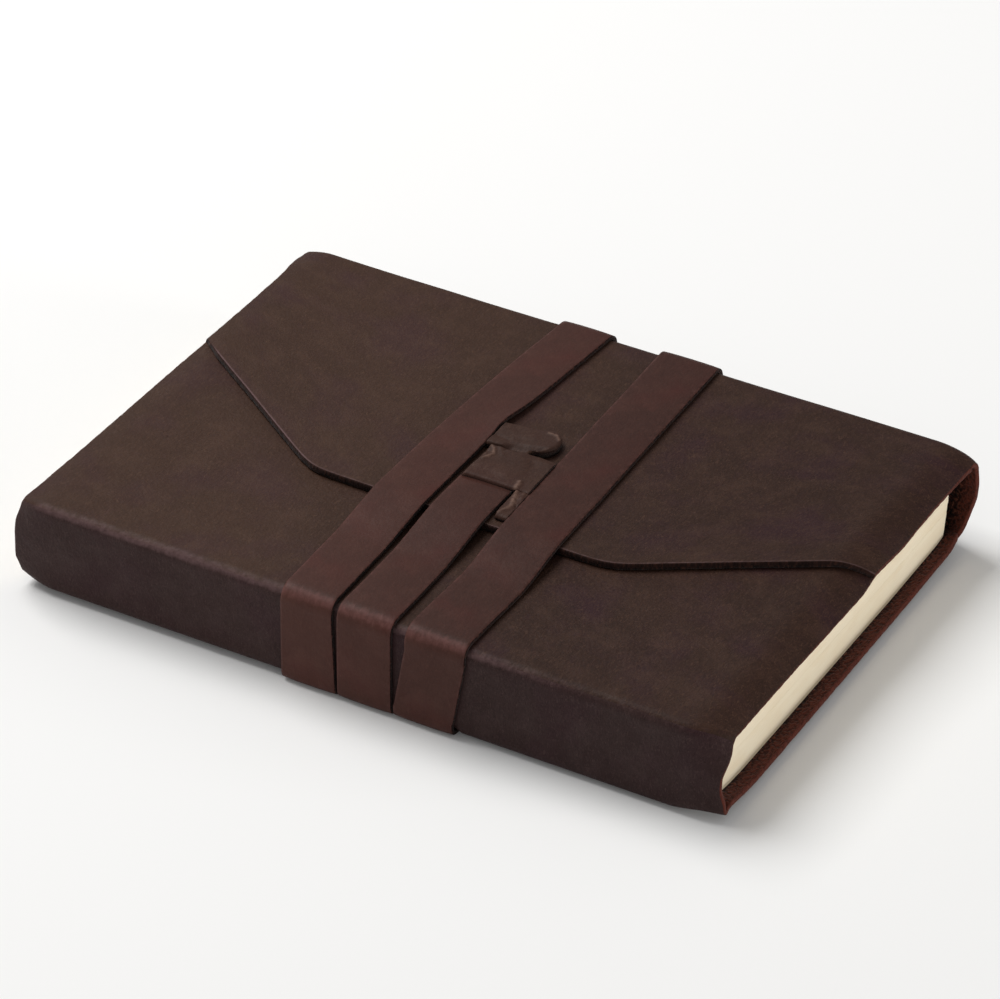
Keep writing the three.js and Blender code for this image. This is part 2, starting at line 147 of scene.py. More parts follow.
class Recipe:
    """A small helper that lays out a node material."""

    def __init__(self, name, kind="ShaderNodeBsdfPrincipled"):
        self.material = bpy.data.materials.new(name)
        self.material.use_nodes = True
        self.tree = self.material.node_tree
        self.tree.nodes.clear()
        self.output = self.add("ShaderNodeOutputMaterial")
        self.shader = self.add(kind)
        self.link(self.shader.outputs[0], self.output.inputs["Surface"])

    def add(self, kind, inputs=None, **settings):
        """A node with its settings. Its inputs are plain values or outputs of other nodes."""
        node = self.tree.nodes.new(kind)
        for key, value in settings.items():
            setattr(node, key, value)
        for key, value in (inputs or {}).items():
            self.put(value, node.inputs[key])
        return node

    def link(self, source, target):
        self.tree.links.new(source, target)

    def put(self, value, socket):
        """Links a node's output to the socket, or writes a plain value into it."""
        if isinstance(value, bpy.types.NodeSocket):
            self.link(value, socket)
        else:
            socket.default_value = value

    def place(self, stretch=(1, 1, 1)):
        """Texture coordinates from the UV map, which is laid out in decimetres."""
        uv = self.add("ShaderNodeUVMap", uv_map="UVMap").outputs["UV"]
        return self.add("ShaderNodeMapping", {"Vector": uv, "Scale": stretch}).outputs["Vector"]

    def noise(self, vector, scale, detail=3.0, roughness=0.55, distortion=0.0):
        return self.add("ShaderNodeTexNoise", {
            "Vector": vector, "Scale": scale, "Detail": detail,
            "Roughness": roughness, "Distortion": distortion,
        }).outputs["Fac"]

    def cells(self, vector, scale):
        return self.add("ShaderNodeTexVoronoi", {"Vector": vector, "Scale": scale}).outputs["Distance"]

    def spread(self, value, low, high, to_low=0.0, to_high=1.0):
        return self.add("ShaderNodeMapRange", {
            "Value": value, "From Min": low, "From Max": high, "To Min": to_low, "To Max": to_high,
        }, interpolation_type="SMOOTHSTEP").outputs["Result"]

    def mix(self, factor, first, second):
        inputs = {"Factor": factor, MIX_FIRST: first, MIX_SECOND: second}
        return self.add("ShaderNodeMix", inputs, data_type="RGBA").outputs[MIX_RESULT]

    def maths(self, operation, first, second):
        inputs = {0: first, 1: second}
        return self.add("ShaderNodeMath", inputs, operation=operation).outputs["Value"]

    def attribute(self, name):
        return self.add("ShaderNodeAttribute", attribute_name=name).outputs["Fac"]

    def bump(self, layers):
        """Chains bump layers, given as (height, strength, distance)."""
        normal = {}
        for height, strength, distance in layers:
            inputs = {"Height": height, "Strength": strength, "Distance": distance, **normal}
            normal = {"Normal": self.add("ShaderNodeBump", inputs).outputs["Normal"]}
        self.put(normal["Normal"], self.shader.inputs["Normal"])

    def finish(self, colour, roughness, specular, sheen=0.0):
        looks = {
            "Base Color": colour, "Roughness": roughness,
            "Specular IOR Level": specular, "Sheen Weight": sheen,
        }
        for key, value in looks.items():
            self.put(value, self.shader.inputs[key])
        return self.material


def grain_leather(name, dark, middle, light, hue, worn_and_lit, lit_pale, painted_light_strength, grain, gloss):
    """Oiled leather: mottled colour, fine pebbled grain and pores. Folds and rims are painted lighter,
    as rubbed leather and painted highlight, and one side paler as painted light.
    """
    r = Recipe(name)
    at = r.place()
    cloud = r.noise(at, 1.6, 4.0, 0.6, 0.4)
    mottle = r.noise(at, 11.0, 5.0, 0.62, 0.2)
    tint = r.noise(at, 4.3, 3.0, 0.5)
    colour = r.mix(r.spread(cloud, 0.3, 0.72), srgb(dark), srgb(middle))
    colour = r.mix(r.spread(tint, 0.45, 0.72, 0.0, 0.7), colour, srgb(hue))
    colour = r.mix(r.spread(mottle, 0.42, 0.8, 0.0, 0.5), colour, srgb(light))
    pebble = r.cells(at, 110.0)
    pores = r.noise(at, 420.0, 2.0)
    crease = r.noise(r.place((1.0, 0.45, 1.0)), 46.0, 4.0, 0.65, 0.8)
    scuffs = r.noise(r.place((1.0, 0.4, 1.0)), 150.0, 5.0, 0.75, 1.6)
    blotch = r.noise(at, 30.0, 4.0, 0.65, 0.5)
    colour = r.mix(r.spread(blotch, 0.5, 0.8, 0.0, 0.35 * grain), colour, srgb(hue))
    colour = r.mix(r.spread(scuffs, 0.5, 0.7, 0.0, grain), colour, srgb(light))
    colour = r.mix(r.spread(scuffs, 0.5, 0.3, 0.0, 0.5 * grain), colour, srgb(GRIME))
    colour = r.mix(r.spread(pores, 0.5, 0.7, 0.0, 0.4 * grain), colour, srgb(GRIME))
    # Folds, rims and knot ridges are painted the worn colour, as rubbed leather and as a painted
    # highlight, broken up by noise
    rub_and_highlight = r.noise(r.place((1.0, 0.8, 1.0)), 60.0, 3.0, 0.6, 0.3)
    uneven = r.maths("ADD", r.attribute("wear_and_highlight"), r.spread(rub_and_highlight, 0.2, 0.8, -0.24, 0.24))
    # Painted light: paler where more light falls, towards the left and on the strap's spine face
    colour = r.mix(r.maths("MULTIPLY", r.attribute("painted_light"), painted_light_strength), colour, srgb(lit_pale))
    colour = r.mix(r.spread(uneven, 0.05, 1.25), colour, srgb(worn_and_lit))
    rough = r.spread(mottle, 0.25, 0.8, 0.62 - gloss, 0.48 - gloss)
    r.bump([
        (crease, 0.26 * grain, 0.0006),
        (scuffs, 0.22 * grain, 0.0004),
        (pebble, 0.30 * grain, 0.00022),
        (pores, 0.20 * grain, 0.00012),
    ])
    return r.finish(colour, rough, 0.12)


def flesh_leather(name, dark, light, end="5a2c22", speckle=0.45):
    """The suede underside and the cut edges: fibrous and matt. The cut edges are redder, and the flesh
    side is painted redder and lighter towards the ends as painted light.
    """
    r = Recipe(name)
    fibre = r.noise(r.place((1.6, 1.0, 1.0)), 80.0, 2.0, 0.5, 0.6)
    clump = r.noise(r.place(), 26.0, 4.0, 0.7, 0.6)
    colour = r.mix(r.spread(clump, 0.35, 0.68), srgb(dark), srgb(light))
    colour = r.mix(r.spread(fibre, 0.5, 0.36, 0.0, speckle), colour, srgb(FIBRE_DARK))
    colour = r.mix(r.spread(fibre, 0.5, 0.68, 0.0, 0.6 * speckle), colour, srgb(FIBRE_LIGHT))
    # The end colour covers the cut edges in their own redder colour, and the flesh side's ends as
    # painted light
    outer = r.maths("MULTIPLY", r.attribute("wear_and_highlight"), r.spread(fibre, 0.35, 0.6, 0.35, 1.0))
    colour = r.mix(outer, colour, srgb(end))
    r.bump([(fibre, 0.9 * speckle, 0.0008), (clump, 0.5, 0.0008)])
    return r.finish(colour, 0.95, 0.1, sheen=0.08)


def page_paper(name, base, shade):
    """Uncoated paper. Its cut edges show the leaves as very fine lines, and are painted darker at the
    foot as painted shade.
    """
    r = Recipe(name)
    at = r.place()
    tooth = r.noise(at, 240.0, 3.0)
    leaves = r.noise(r.place((0.6, 60.0, 0.6)), 18.0, 4.0, 0.7)
    cloud = r.noise(at, 5.0, 3.0)
    colour = r.mix(r.spread(cloud, 0.35, 0.75, 0.0, 0.5), srgb(base), srgb(shade))
    edge = r.attribute("edge")
    lines = r.maths("MULTIPLY", edge, r.spread(leaves, 0.52, 0.78, 0.0, 0.32))
    colour = r.mix(lines, colour, srgb(LEAF_LINE))
    colour = r.mix(r.spread(edge, 1.0, 2.0, 0.0, 0.62), colour, srgb(PAGE_FOOT_SHADE))
    r.bump([(leaves, 0.10, 0.0003), (tooth, 0.12, 0.00015)])
    return r.finish(colour, 0.9, 0.2)


def cloth_like(name, base, shade, scale):
    """Thread and mull: a fine woven or twisted surface."""
    r = Recipe(name)
    weave = r.noise(r.place((3.0, 1.0, 1.0)), scale, 3.0, 0.7)
    colour = r.mix(r.spread(weave, 0.4, 0.7), srgb(base), srgb(shade))
    r.bump([(weave, 0.6, 0.0004)])
    return r.finish(colour, 0.85, 0.2)


LEATHERS = [
    # name, dark, middle, light, hue, worn and painted-highlight colour, painted-light pale colour,
    # painted-light strength, grain, gloss
    ("cover_leather", "2e1c15", "342119", "493328", "321b22", "604a4a", "694e3c", 0.12, 1.0, 0.0),
    # Painted light: the spine face has its own copy of the cover leather, tinted cooler and purple as
    # painted shade and made lighter to make up for the light it lacks
    ("spine_leather", "322120", "372624", "463432", "361f24", "604a4a", "694e4a", 0.05, 1.0, 0.0),
    ("strap_leather", "341e19", "3a221c", "4a2e26", "44201c", "6a4642", "8a5a50", 0.085, 0.6, 0.02),
    ("knot_leather", "33201a", "3a251e", "483329", "3a201c", "7a6054", "8a6a5a", 0.05, 0.8, 0.0),
]
COVER_LEATHER, SHADED_SPINE_LEATHER, STRAP_LEATHER, KNOT_LEATHER = [grain_leather(*row) for row in LEATHERS]
FLESH = flesh_leather("flesh_side", "1e0d06", "321711", speckle=1.0)
CUT_EDGE = flesh_leather("cut_edge", "3a1a15", "5c2b22")
# Painted shade: the cut face at the hides' free ends is painted darker than the other cut edges, as it
# faces away from the light
SHADED_FREE_EDGE = flesh_leather("free_edge", "160b09", "2a1814", "2e1b16", 0.3)
# The strap's cut edges: dark leather edges, painted darker still as painted shade in the gaps beside
# them. The knot's rims use it too, as painted shade.
STRAP_EDGE_AND_SHADE = flesh_leather("strap_edge", "140907", "26130f", "2c1713")
PAPER = page_paper("page_paper", "fbeed4", "f3e0bf")
ENDPAPER = page_paper("endpaper", "f3e6cb", "e8d7b6")
THREAD = cloth_like("sewing_thread", "e6dcc4", "c9bb98", 300.0)
MULL = cloth_like("mull_cloth", "cbbf9f", "b3a582", 160.0)


# Mesh building. UV maps are laid out in decimetres.
UV_SCALE = 10
JOIN = 0.01 * MM
FINE_JOIN = 1e-7
PAGE_JOIN = 1e-8

# Painted light: the leather is painted paler on the left of the strap than on its right, where less
# light falls
PAINTED_LIGHT_REACH = 45 * MM


def mesh_object(name, vertices, faces, uvs, indices, materials, label, values, lit_pale=0.0):
    """One object from plain arrays. uvs, in metres, and values are per vertex, indices per face.

    The values are stored under the label, for the materials to read. The paleness argument adds to the
    painted light, the paler colour painted where more light falls.
    """
    vertices = np.asarray(vertices).reshape(-1, 3)
    uvs = np.asarray(uvs).reshape(-1, 2) * UV_SCALE
    mesh = bpy.data.meshes.new(name)
    mesh.from_pydata(vertices.tolist(), [], faces)
    for material in materials:
        mesh.materials.append(material)
    mesh.polygons.foreach_set("material_index", np.asarray(indices, np.int32))
    mesh.polygons.foreach_set("use_smooth", np.ones(len(faces), bool))
    layer = mesh.uv_layers.new(name="UVMap")
    corner = np.empty(len(mesh.loops), np.int32)
    mesh.loops.foreach_get("vertex_index", corner)
    layer.data.foreach_set("uv", uvs.astype(np.float32)[corner].ravel())
    painted_light = 1 - ramp(vertices[:, 0], -PAINTED_LIGHT_REACH, PAINTED_LIGHT_REACH) + np.ravel(lit_pale)
    for key, data in ((label, values), ("painted_light", painted_light)):
        attribute = mesh.attributes.new(key, "FLOAT", "POINT")
        attribute.data.foreach_set("value", np.asarray(data, np.float32).ravel())
    mesh.update()
    obj = bpy.data.objects.new(name, mesh)
    bpy.context.scene.collection.objects.link(obj)
    return obj


def tube(count, ring):
    """The faces between count rings of points, one ring after another."""
    faces = []
    for i in range(count - 1):
        for j in range(ring):
            a, b = i * ring + j, i * ring + (j + 1) % ring
            faces.append((a, b, b + ring, a + ring))
    return faces


def clean(obj, distance=JOIN):
    """Joins doubled points and turns every face outwards."""
    work = bmesh.new()
    work.from_mesh(obj.data)
    bmesh.ops.remove_doubles(work, verts=work.verts, dist=distance)
    bmesh.ops.recalc_face_normals(work, faces=work.faces)
    work.to_mesh(obj.data)
    work.free()
    obj.data.update()
    return obj


# How much of the flesh side is painted lit and redder at the two ends, as painted light
LIP_SEEN = 4.5 * MM
LIP_STEP = (END_X - LIP_SEEN, END_X - 0.4 * LIP_SEEN)

# A cut edge in section: how far it stands out, in millimetres, and where it lies between
# the outer face at 1 and the inner face at -1. A free end takes the first four points.
CUT_SECTION = [
    (0.18, 0.93), (0.32, 0.72), (0.38, 0.35), (0.39, 0.0), (0.37, -0.4), (0.3, -0.75), (0.15, -0.95),
]
CUT_STEPS = len(CUT_SECTION)
END_SECTION = CUT_SECTION[:4]

# How uneven a cut edge is, in small bumps and fainter wide ones, and the places in the noise
# that are read for their X, Y and Z
CUT_ROUGH = 0.07 * MM
SMALL_BUMPS = 0.0011
WIDE_BUMPS = 0.0045
WIDE_SHARE = 0.25
SMALL_PLACES = (0.0, 0.31, 0.57)
WIDE_PLACES = (0.11, 0.43, 0.77)

# The hide's material slots
GRAIN_SLOT, FLESH_SLOT, SIDE_SLOT, END_SLOT = range(4)
FLESH_UV_OFFSET = 0.7


def slab(name, middle, normal, tangent, end, thickness, uv, wear_and_highlight, materials, seed):
    """A thick sheet from a grid of points on its middle surface.

    middle, normal and tangent are rows x columns x 3, and thickness holds one value per
    column. The sheet's sides are cut edges. Its last row is one too if end gives the
    direction that it faces, and otherwise stays open, as the first row does.
    """
    sample = make_noise(seed)
    rows, columns = middle.shape[:2]
    half = thickness[:, None] / 2
    plan = [(i, 0.0, 1.0) for i in range(rows)]
    if end is not None:
        plan += [(rows - 1, e * MM, f) for e, f in END_SECTION]
    outward = np.zeros(3) if end is None else np.array(end)
    side = np.ones(CUT_STEPS)
    side_u = np.cumsum(side * (HIDE / CUT_STEPS))
    vertices, uvs, worn_and_lit = [], [], []
    for i, reach, share in plan:
        m, n, t = middle[i], normal[i], tangent[i]
        shift = outward * reach
        outer = m + n * half * share + shift
        inner = m - n * half * share + shift
        right, left = (
            [m[k] + n[k] * half[k] * f * share + t[k] * e * MM * sign + shift for e, f in section]
            for k, sign, section in ((-1, 1, CUT_SECTION), (0, -1, CUT_SECTION[::-1]))
        )
        vertices.append(np.concatenate([outer, right, inner[::-1], left]))
        u, v = uv[i, :, 0], uv[i, :, 1] + reach
        uvs.append(np.concatenate([
            np.stack([u, v], 1),
            np.stack([u[-1] + side_u, side * v[-1]], 1),
            np.stack([u[::-1], v[::-1] + FLESH_UV_OFFSET], 1),
            np.stack([u[0] - side_u[::-1], side * v[0]], 1),
        ]))
        # Painted light: the flesh side's ends are painted lit and redder
        lip = ramp(np.abs(u), *LIP_STEP)
        worn_and_lit.append(np.concatenate([wear_and_highlight[i], side, lip[::-1], side]))
    vertices = np.array(vertices)
    count, ring = vertices.shape[:2]
    rim = np.zeros(ring, bool)
    rim[columns:columns + CUT_STEPS] = True
    rim[2 * columns + CUT_STEPS:] = True
    cap = np.arange(count) >= rows
    touched = cap[:, None] | rim[None, :]
    push = np.stack([sample(vertices + k, SMALL_BUMPS) for k in SMALL_PLACES], -1)
    push += WIDE_SHARE * np.stack([sample(vertices + k, WIDE_BUMPS) for k in WIDE_PLACES], -1)
    vertices += push * (touched[..., None] * CUT_ROUGH)
    across = np.where(np.arange(ring) < columns, GRAIN_SLOT, FLESH_SLOT)
    across = np.where(rim | np.roll(rim, -1), SIDE_SLOT, across)
    index = np.where(cap[1:, None], END_SLOT, across[None, :]).ravel()
    obj = mesh_object(name, vertices, tube(count, ring), uvs, index, materials, "wear_and_highlight", worn_and_lit)
    return clean(obj)


# How square the folds are: 2 is a circle, and more is squarer
NEAR_POWER = 2.35
LOW_POWER = 3.8
FAR_POWER = 2.0


def bend(centre, radius, degrees, power=None):
    """A point on a fold, and its outward normal."""
    power = power or (NEAR_POWER if centre[0] < 0 else FAR_POWER)
    c, s = math.cos(math.radians(degrees)), math.sin(math.radians(degrees))
    size = (abs(c) ** power + abs(s) ** power) ** (1 / power)
    normal = (math.copysign(abs(c) ** (power - 1), c), math.copysign(abs(s) ** (power - 1), s))
    length = math.hypot(*normal)
    point = (centre[0] + radius * c / size, centre[1] + radius * s / size)
    return point, (normal[0] / length, normal[1] / length)


# How far apart a hide's points lie, down its profile and along the spine
ROW_SPACING = 1.5 * MM
FINE_SPACING = 0.8 * MM
EDGE_SPACING = 0.35 * MM
FACE_SPACING = 1.2 * MM
ARC_STEPS = 14
COLUMN_SPACING = 1.1 * MM
END_COLUMN_SPACING = 0.5 * MM
END_BORDER = 12 * MM


class Profile:
    """A path in Y and Z made of straight runs and arcs, with its outward normals."""

    def __init__(self, start_length=0.0):
        self.points, self.normals, self.lengths = [], [], []
        self.length = start_length

    def _put(self, y, z, ny, nz):
        if self.points:
            gap = math.dist(self.points[-1], (y, z))
            self.length += gap
            if gap < FINE_JOIN:
                return
        self.points.append((y, z))
        self.normals.append((ny, nz))
        self.lengths.append(self.length)

    def line(self, start, end, normal, step=ROW_SPACING):
        count = max(2, int(math.dist(start, end) / step))
        for i in range(count + 1):
            t = i / count
            self._put(start[0] + (end[0] - start[0]) * t, start[1] + (end[1] - start[1]) * t, *normal)

    def arc(self, centre, radius, start, end):
        for i in range(ARC_STEPS + 1):
            (y, z), normal = bend(centre, radius, start + (end - start) * i / ARC_STEPS)
            self._put(y, z, *normal)


def columns_across():
    """Places along the spine, closer together near the two ends."""
    start = END_X - END_BORDER
    middle = np.linspace(-start, start, int(2 * start / COLUMN_SPACING))
    edge = np.linspace(start, END_X - END_SECTION[-1][0] * MM, int(END_BORDER / END_COLUMN_SPACING))[1:]
    return np.concatenate([-edge[::-1], middle, edge])


hide_noise = make_noise(11)

# Where the soft ends, the lip, the crease and the parts next to the two long faces begin
RIGHT_SOFT = END_X - 11 * MM
LEFT_SOFT = END_X - 9 * MM
LIP_START = END_X - 4 * MM
CREASE_START = END_X - 8.2 * MM
FACE_REACH = 14 * MM

# How far each part gives way
RIGHT_DROOP = 4.4 * MM
LEFT_DROOP = 0.8 * MM
CORNER_DROOP = 1.0 * MM
RIGHT_REACH = 0.7 * MM
RIGHT_PINCH = 4.6 * MM
CREASE_TURN = 1.7 * MM
WALL_LIP = 1.1 * MM
BACK_LIP = 0.8 * MM
FOOT_LIFT = 0.8 * MM
FOOT_NEAR = 2.2 * MM
FOOT_FAR = 0.7 * MM
STRIP_NEAR = 1.5 * MM
STRIP_FAR = 0.2 * MM
WALL_FLARE = 2.4 * MM
WALL_TUCK = 1.2 * MM
FAR_ROUNDING_IN = 3.0 * MM
FAR_ROUNDING_UP = 2.55 * MM
LEFT_BULGE = 3.3 * MM
LEFT_CURL = 1.2 * MM

# How steeply each bend sets in towards the hide's end
TOP_POWER = 2.2
LEFT_TOP_POWER = 1.8
PINCH_POWER = 1.6
CREASE_POWER = 1.15
BULGE_POWER = 1.5
LIP_POWER = 2

# How much less a part gives way next to a stiffer one
DROOP_LESS_FAR = 0.42
FOOT_LESS_NEAR = 0.7
FOOT_LESS_AT_WALL = 0.5
FLARE_LESS_AT_TOP = 0.35
BULGE_LESS_AT_TOP = 0.6
BULGE_BELOW = 0.55
WAVE_LESS_AT_STRAP = 0.8
WAVE_LESS_NEAR = 0.6
SPINE_WAVE = 0.9

# Where each part fades in or out, as the start and the end of a smooth step
TOP_STEP = (12 * MM, 25 * MM)
LOW_STEP = (LOW_Z, LOW_Z + 5 * MM)
WALL_STEP = (FAR_FACE - 6 * MM, FAR_FACE - 1 * MM)
FOOT_STEP = (END_X - 15 * MM, END_X - 5 * MM)
FOOT_NEAR_STEP = (NEAR_FACE, NEAR_FACE + 5 * MM)
FOOT_FAR_STEP = (30 * MM, 66 * MM)
FLARE_STEP = (2 * MM, 20 * MM)
FLARE_TOP_STEP = (22 * MM, 31 * MM)
TUCK_STEP = (2 * MM, 8 * MM)
BULGE_LOW_STEP = (0, 5 * MM)
BULGE_MIDDLE_STEP = (8 * MM, 11 * MM)
BULGE_TOP_STEP = (21 * MM, 30 * MM)
PINCH_STEP = (15 * MM, 27 * MM)

# Middles and widths of the parts that fade out like a bell
FLAP_CORNER = (31 * MM, 10 * MM)
FOOT_CORNER = (NEAR_FACE, 11 * MM)
FAR_CORNER_WIDE = 8 * MM

# The left end's rounded corners: how far they move in X, Y and Z, their steps in Z, and
# how steeply they set in
NEAR_TOP_CORNER = ((0.5 * MM, 1.2 * MM, -0.8 * MM), (18 * MM, 28 * MM), 1.6)
NEAR_LOW_CORNER = ((0.7 * MM, 0.8 * MM, 2.2 * MM), (3 * MM, 9 * MM), 1.6)
FAR_TOP_CORNER = ((1.5 * MM, 0.0, -0.6 * MM), (16 * MM, 28 * MM), 1.4)

# The distance over which the soft shape's turn is measured
PROBE = 0.05 * MM

# Slow waves in the leather, as length and height
LONG_WAVE = (0.038, 0.28 * MM)
SHORT_WAVE = (0.014, 0.09 * MM)
SHORT_WAVE_PLACE = 0.3

# How far the book's underside sinks beside the strap, and over it at the two folds
SAG = 2.9 * MM
SAG_LEFT = 2.3 * MM
SAG_OVER_STRAP = 1.7 * MM
STRAP_ZONE = (-23.8 * MM, 29.9 * MM)
ZONE_FADE = 1.2 * MM
BACK_SLOPE = 7 * MM


def strap_zone(x):
    left = ramp(x, STRAP_ZONE[0] - ZONE_FADE, STRAP_ZONE[0])
    return left * (1 - ramp(x, STRAP_ZONE[1], STRAP_ZONE[1] + ZONE_FADE))


def sag(x, y):
    at_folds = 1 - ramp(y, NEAR_Y, NEAR_Y + BACK_SLOPE) * (1 - ramp(y, FAR_Y - BACK_SLOPE, FAR_Y))
    zone = strap_zone(x)
    beside = SAG_LEFT + (SAG - SAG_LEFT) * ramp(x, STRAP_ZONE[0], STRAP_ZONE[1])
    return beside * (1 - zone) + SAG_OVER_STRAP * zone * at_folds


def past(x, start, limit=1.2):
    """How far x has gone from start to the hide's end: 0 at start, 1 at the end."""
    return np.clip((x - start) / (END_X - start), 0, limit)


def bell(value, middle, width):
    return np.exp(-((value - middle) / width) ** 2)


def settle(points, waves=True):
    """The soft shape: drooping ends, an underside that rests on the table, slow waves."""
    p = points.copy()
    x, y, z = p[..., 0], p[..., 1], p[..., 2]
    right = past(x, RIGHT_SOFT)
    left = past(-x, LEFT_SOFT)
    lip = past(x, LIP_START) ** LIP_POWER
    top = ramp(z, *TOP_STEP)
    low = 1 - ramp(z, *LOW_STEP)
    near = 1 - ramp(y, NEAR_FACE, NEAR_FACE + FACE_REACH)
    far = ramp(y, FAR_FACE - FACE_REACH, FAR_FACE)
    wall = ramp(y, *WALL_STEP)
    corner = bell(np.hypot(y - FAR_FACE, z - UNDERSIDE), 0, FAR_CORNER_WIDE) * right
    height = np.clip((COVER_TOP - HIDE - z) / (COVER_TOP - 2 * HIDE - UNDERSIDE), 0, 1)

    # The ends of the top droop, and so hide their own cut edge
    dz = -RIGHT_DROOP * right ** TOP_POWER * top * (1 - DROOP_LESS_FAR * far)
    dz -= CORNER_DROOP * right ** 2 * top * bell(y, *FLAP_CORNER)
    dz -= LEFT_DROOP * left ** LEFT_TOP_POWER * top

    # The underside sinks to the table, and its right end curls up a little
    dz -= sag(x, y) * height
    foot = FOOT_LIFT + FOOT_NEAR * bell(y, *FOOT_CORNER) + FOOT_FAR * ramp(y, *FOOT_FAR_STEP)
    foot = foot * (1 - FOOT_LESS_NEAR * (1 - ramp(y, *FOOT_NEAR_STEP)))
    dz += foot * ramp(x, *FOOT_STEP) * height * (1 - FOOT_LESS_AT_WALL * wall)
    dz += BACK_LIP * lip * low * (1 - wall) * (1 - near)
    dz += FAR_ROUNDING_UP * corner

    # The fore-edge wall flares out and tucks in at its foot, and its end curls inwards
    dx = RIGHT_REACH * right ** 2 * top
    flare = ramp(z, *FLARE_STEP) * (1 - FLARE_LESS_AT_TOP * ramp(z, *FLARE_TOP_STEP))
    dx += WALL_FLARE * far * flare * right ** 2
    dx -= WALL_TUCK * far * (1 - ramp(z, *TUCK_STEP)) * right
    strip = STRIP_NEAR + (STRIP_FAR - STRIP_NEAR) * ramp(y, NEAR_FACE, FAR_FACE)
    dx += strip * right ** 2 * low * (1 - wall)
    dy = -WALL_LIP * lip * wall

    # The spine's ends: bulging on the left, pinched and creased on the right
    bulge = BULGE_BELOW * ramp(z, *BULGE_LOW_STEP)
    bulge = bulge + (1 - BULGE_BELOW) * ramp(z, *BULGE_MIDDLE_STEP)
    bulge = bulge * (1 - BULGE_LESS_AT_TOP * ramp(z, *BULGE_TOP_STEP))
    dx -= LEFT_BULGE * near * left ** BULGE_POWER * bulge
    dy += RIGHT_PINCH * right ** PINCH_POWER * near * ramp(z, *PINCH_STEP)
    dy += CREASE_TURN * past(x, CREASE_START) ** CREASE_POWER * near
    dy += LEFT_CURL * left ** 2 * near
    dy -= FAR_ROUNDING_IN * corner

    # Rounded corners of the left end
    corners = (
        (NEAR_TOP_CORNER, near, True), (NEAR_LOW_CORNER, near, False), (FAR_TOP_CORNER, far, True),
    )
    for (move, step, power), face, upper in corners:
        above = ramp(z, *step)
        share = face * (above if upper else 1 - above) * left ** power
        dx += move[0] * share
        dy += move[1] * share
        dz += move[2] * share

    p[..., 0] = x + dx
    p[..., 1] = y + dy
    p[..., 2] = z + dz
    if waves:
        wave = hide_noise(points, LONG_WAVE[0]) * LONG_WAVE[1]
        wave += hide_noise(points + SHORT_WAVE_PLACE, SHORT_WAVE[0]) * SHORT_WAVE[1]
        wave *= 1 - WAVE_LESS_AT_STRAP * strap_zone(x)
        p[..., 2] += wave * (1 - WAVE_LESS_NEAR * near) * ramp(z, LOW_Z, COVER_TOP - 4 * MM)
        on_spine = ramp(z, UNDERSIDE, LOW_Z) * (1 - ramp(z, NEAR_TOP_Z, COVER_TOP))
        p[..., 1] += wave * near * SPINE_WAVE * on_spine
    return p


def settled_direction(points, direction):
    """How the soft shape turns a direction at each point."""
    step = direction * PROBE
    turned = settle(points + step) - settle(points - step)
    return turned / np.linalg.norm(turned, axis=-1, keepdims=True)


# How much thinner the hide is at its two ends, and how much lighter its rim is painted there, as rubbed
# leather and painted highlight
END_THINNING = 0.2
THINNING_POWER = 1.5
RIM_RUB_AND_HIGHLIGHT = 0.2
RIM_START = END_X - 1.0 * MM
RIM_FADE = 0.5 * MM


def lay_hide(name, profile, end, seed, edge_shift=None, wear_and_highlight=None, leather=COVER_LEATHER):
    """One stretch of the hide, from a profile run along the spine's direction."""
    xs = columns_across()
    rows = len(profile.points)
    outer = np.zeros((rows, len(xs), 3))
    normal = np.zeros_like(outer)
    outer[..., 0] = xs[None, :]
    outer[..., 1:] = np.array(profile.points)[:, None, :]
    normal[..., 1:] = np.array(profile.normals)[:, None, :]
    if edge_shift is not None:
        outer[..., 0], outer[..., 1] = edge_shift(outer[..., 0], outer[..., 1])
    inside = outer - normal * HIDE / 2
    tangent = settled_direction(inside, X_AXIS)
    down = np.cross(X_AXIS, normal)
    normal = np.cross(settled_direction(inside, down), tangent)
    normal /= np.linalg.norm(normal, axis=-1, keepdims=True)
    thickness = HIDE * (1 - END_THINNING * past(np.abs(xs), LEFT_SOFT, 1) ** THINNING_POWER)
    uv = np.zeros((rows, len(xs), 2))
    uv[..., 0] = xs[None, :]
    uv[..., 1] = np.array(profile.lengths)[:, None]
    worn_and_lit = RIM_RUB_AND_HIGHLIGHT * np.clip((np.abs(outer[..., 0]) - RIM_START) / RIM_FADE, 0, 1)
    if wear_and_highlight is not None:
        worn_and_lit = np.maximum(worn_and_lit, wear_and_highlight(outer))
    return slab(
        name, settle(inside), normal, tangent, end, thickness, uv, worn_and_lit,
        [leather, FLESH, CUT_EDGE, SHADED_FREE_EDGE], seed,
    )


# Where a fold is painted lighter, as rubbed leather and painted highlight: its angle above the fold's
# middle in degrees, and its place in X
RUB_AND_HIGHLIGHT_STEP = (16, 38)
RUB_AND_HIGHLIGHT_TOP_STEP = (42, 90)
RUB_AND_HIGHLIGHT_RIGHT_STEP = (25 * MM, 80 * MM)
RUB_AND_HIGHLIGHT_LEFT_STEP = (-END_X, -END_X + 9 * MM)
RUB_AND_HIGHLIGHT_LESS_RIGHT = 0.8
RUB_AND_HIGHLIGHT_DEPTH = 2.6 * FOLD
NEAR_RUB_AND_HIGHLIGHT = 0.74
FAR_RUB_AND_HIGHLIGHT = 0.2


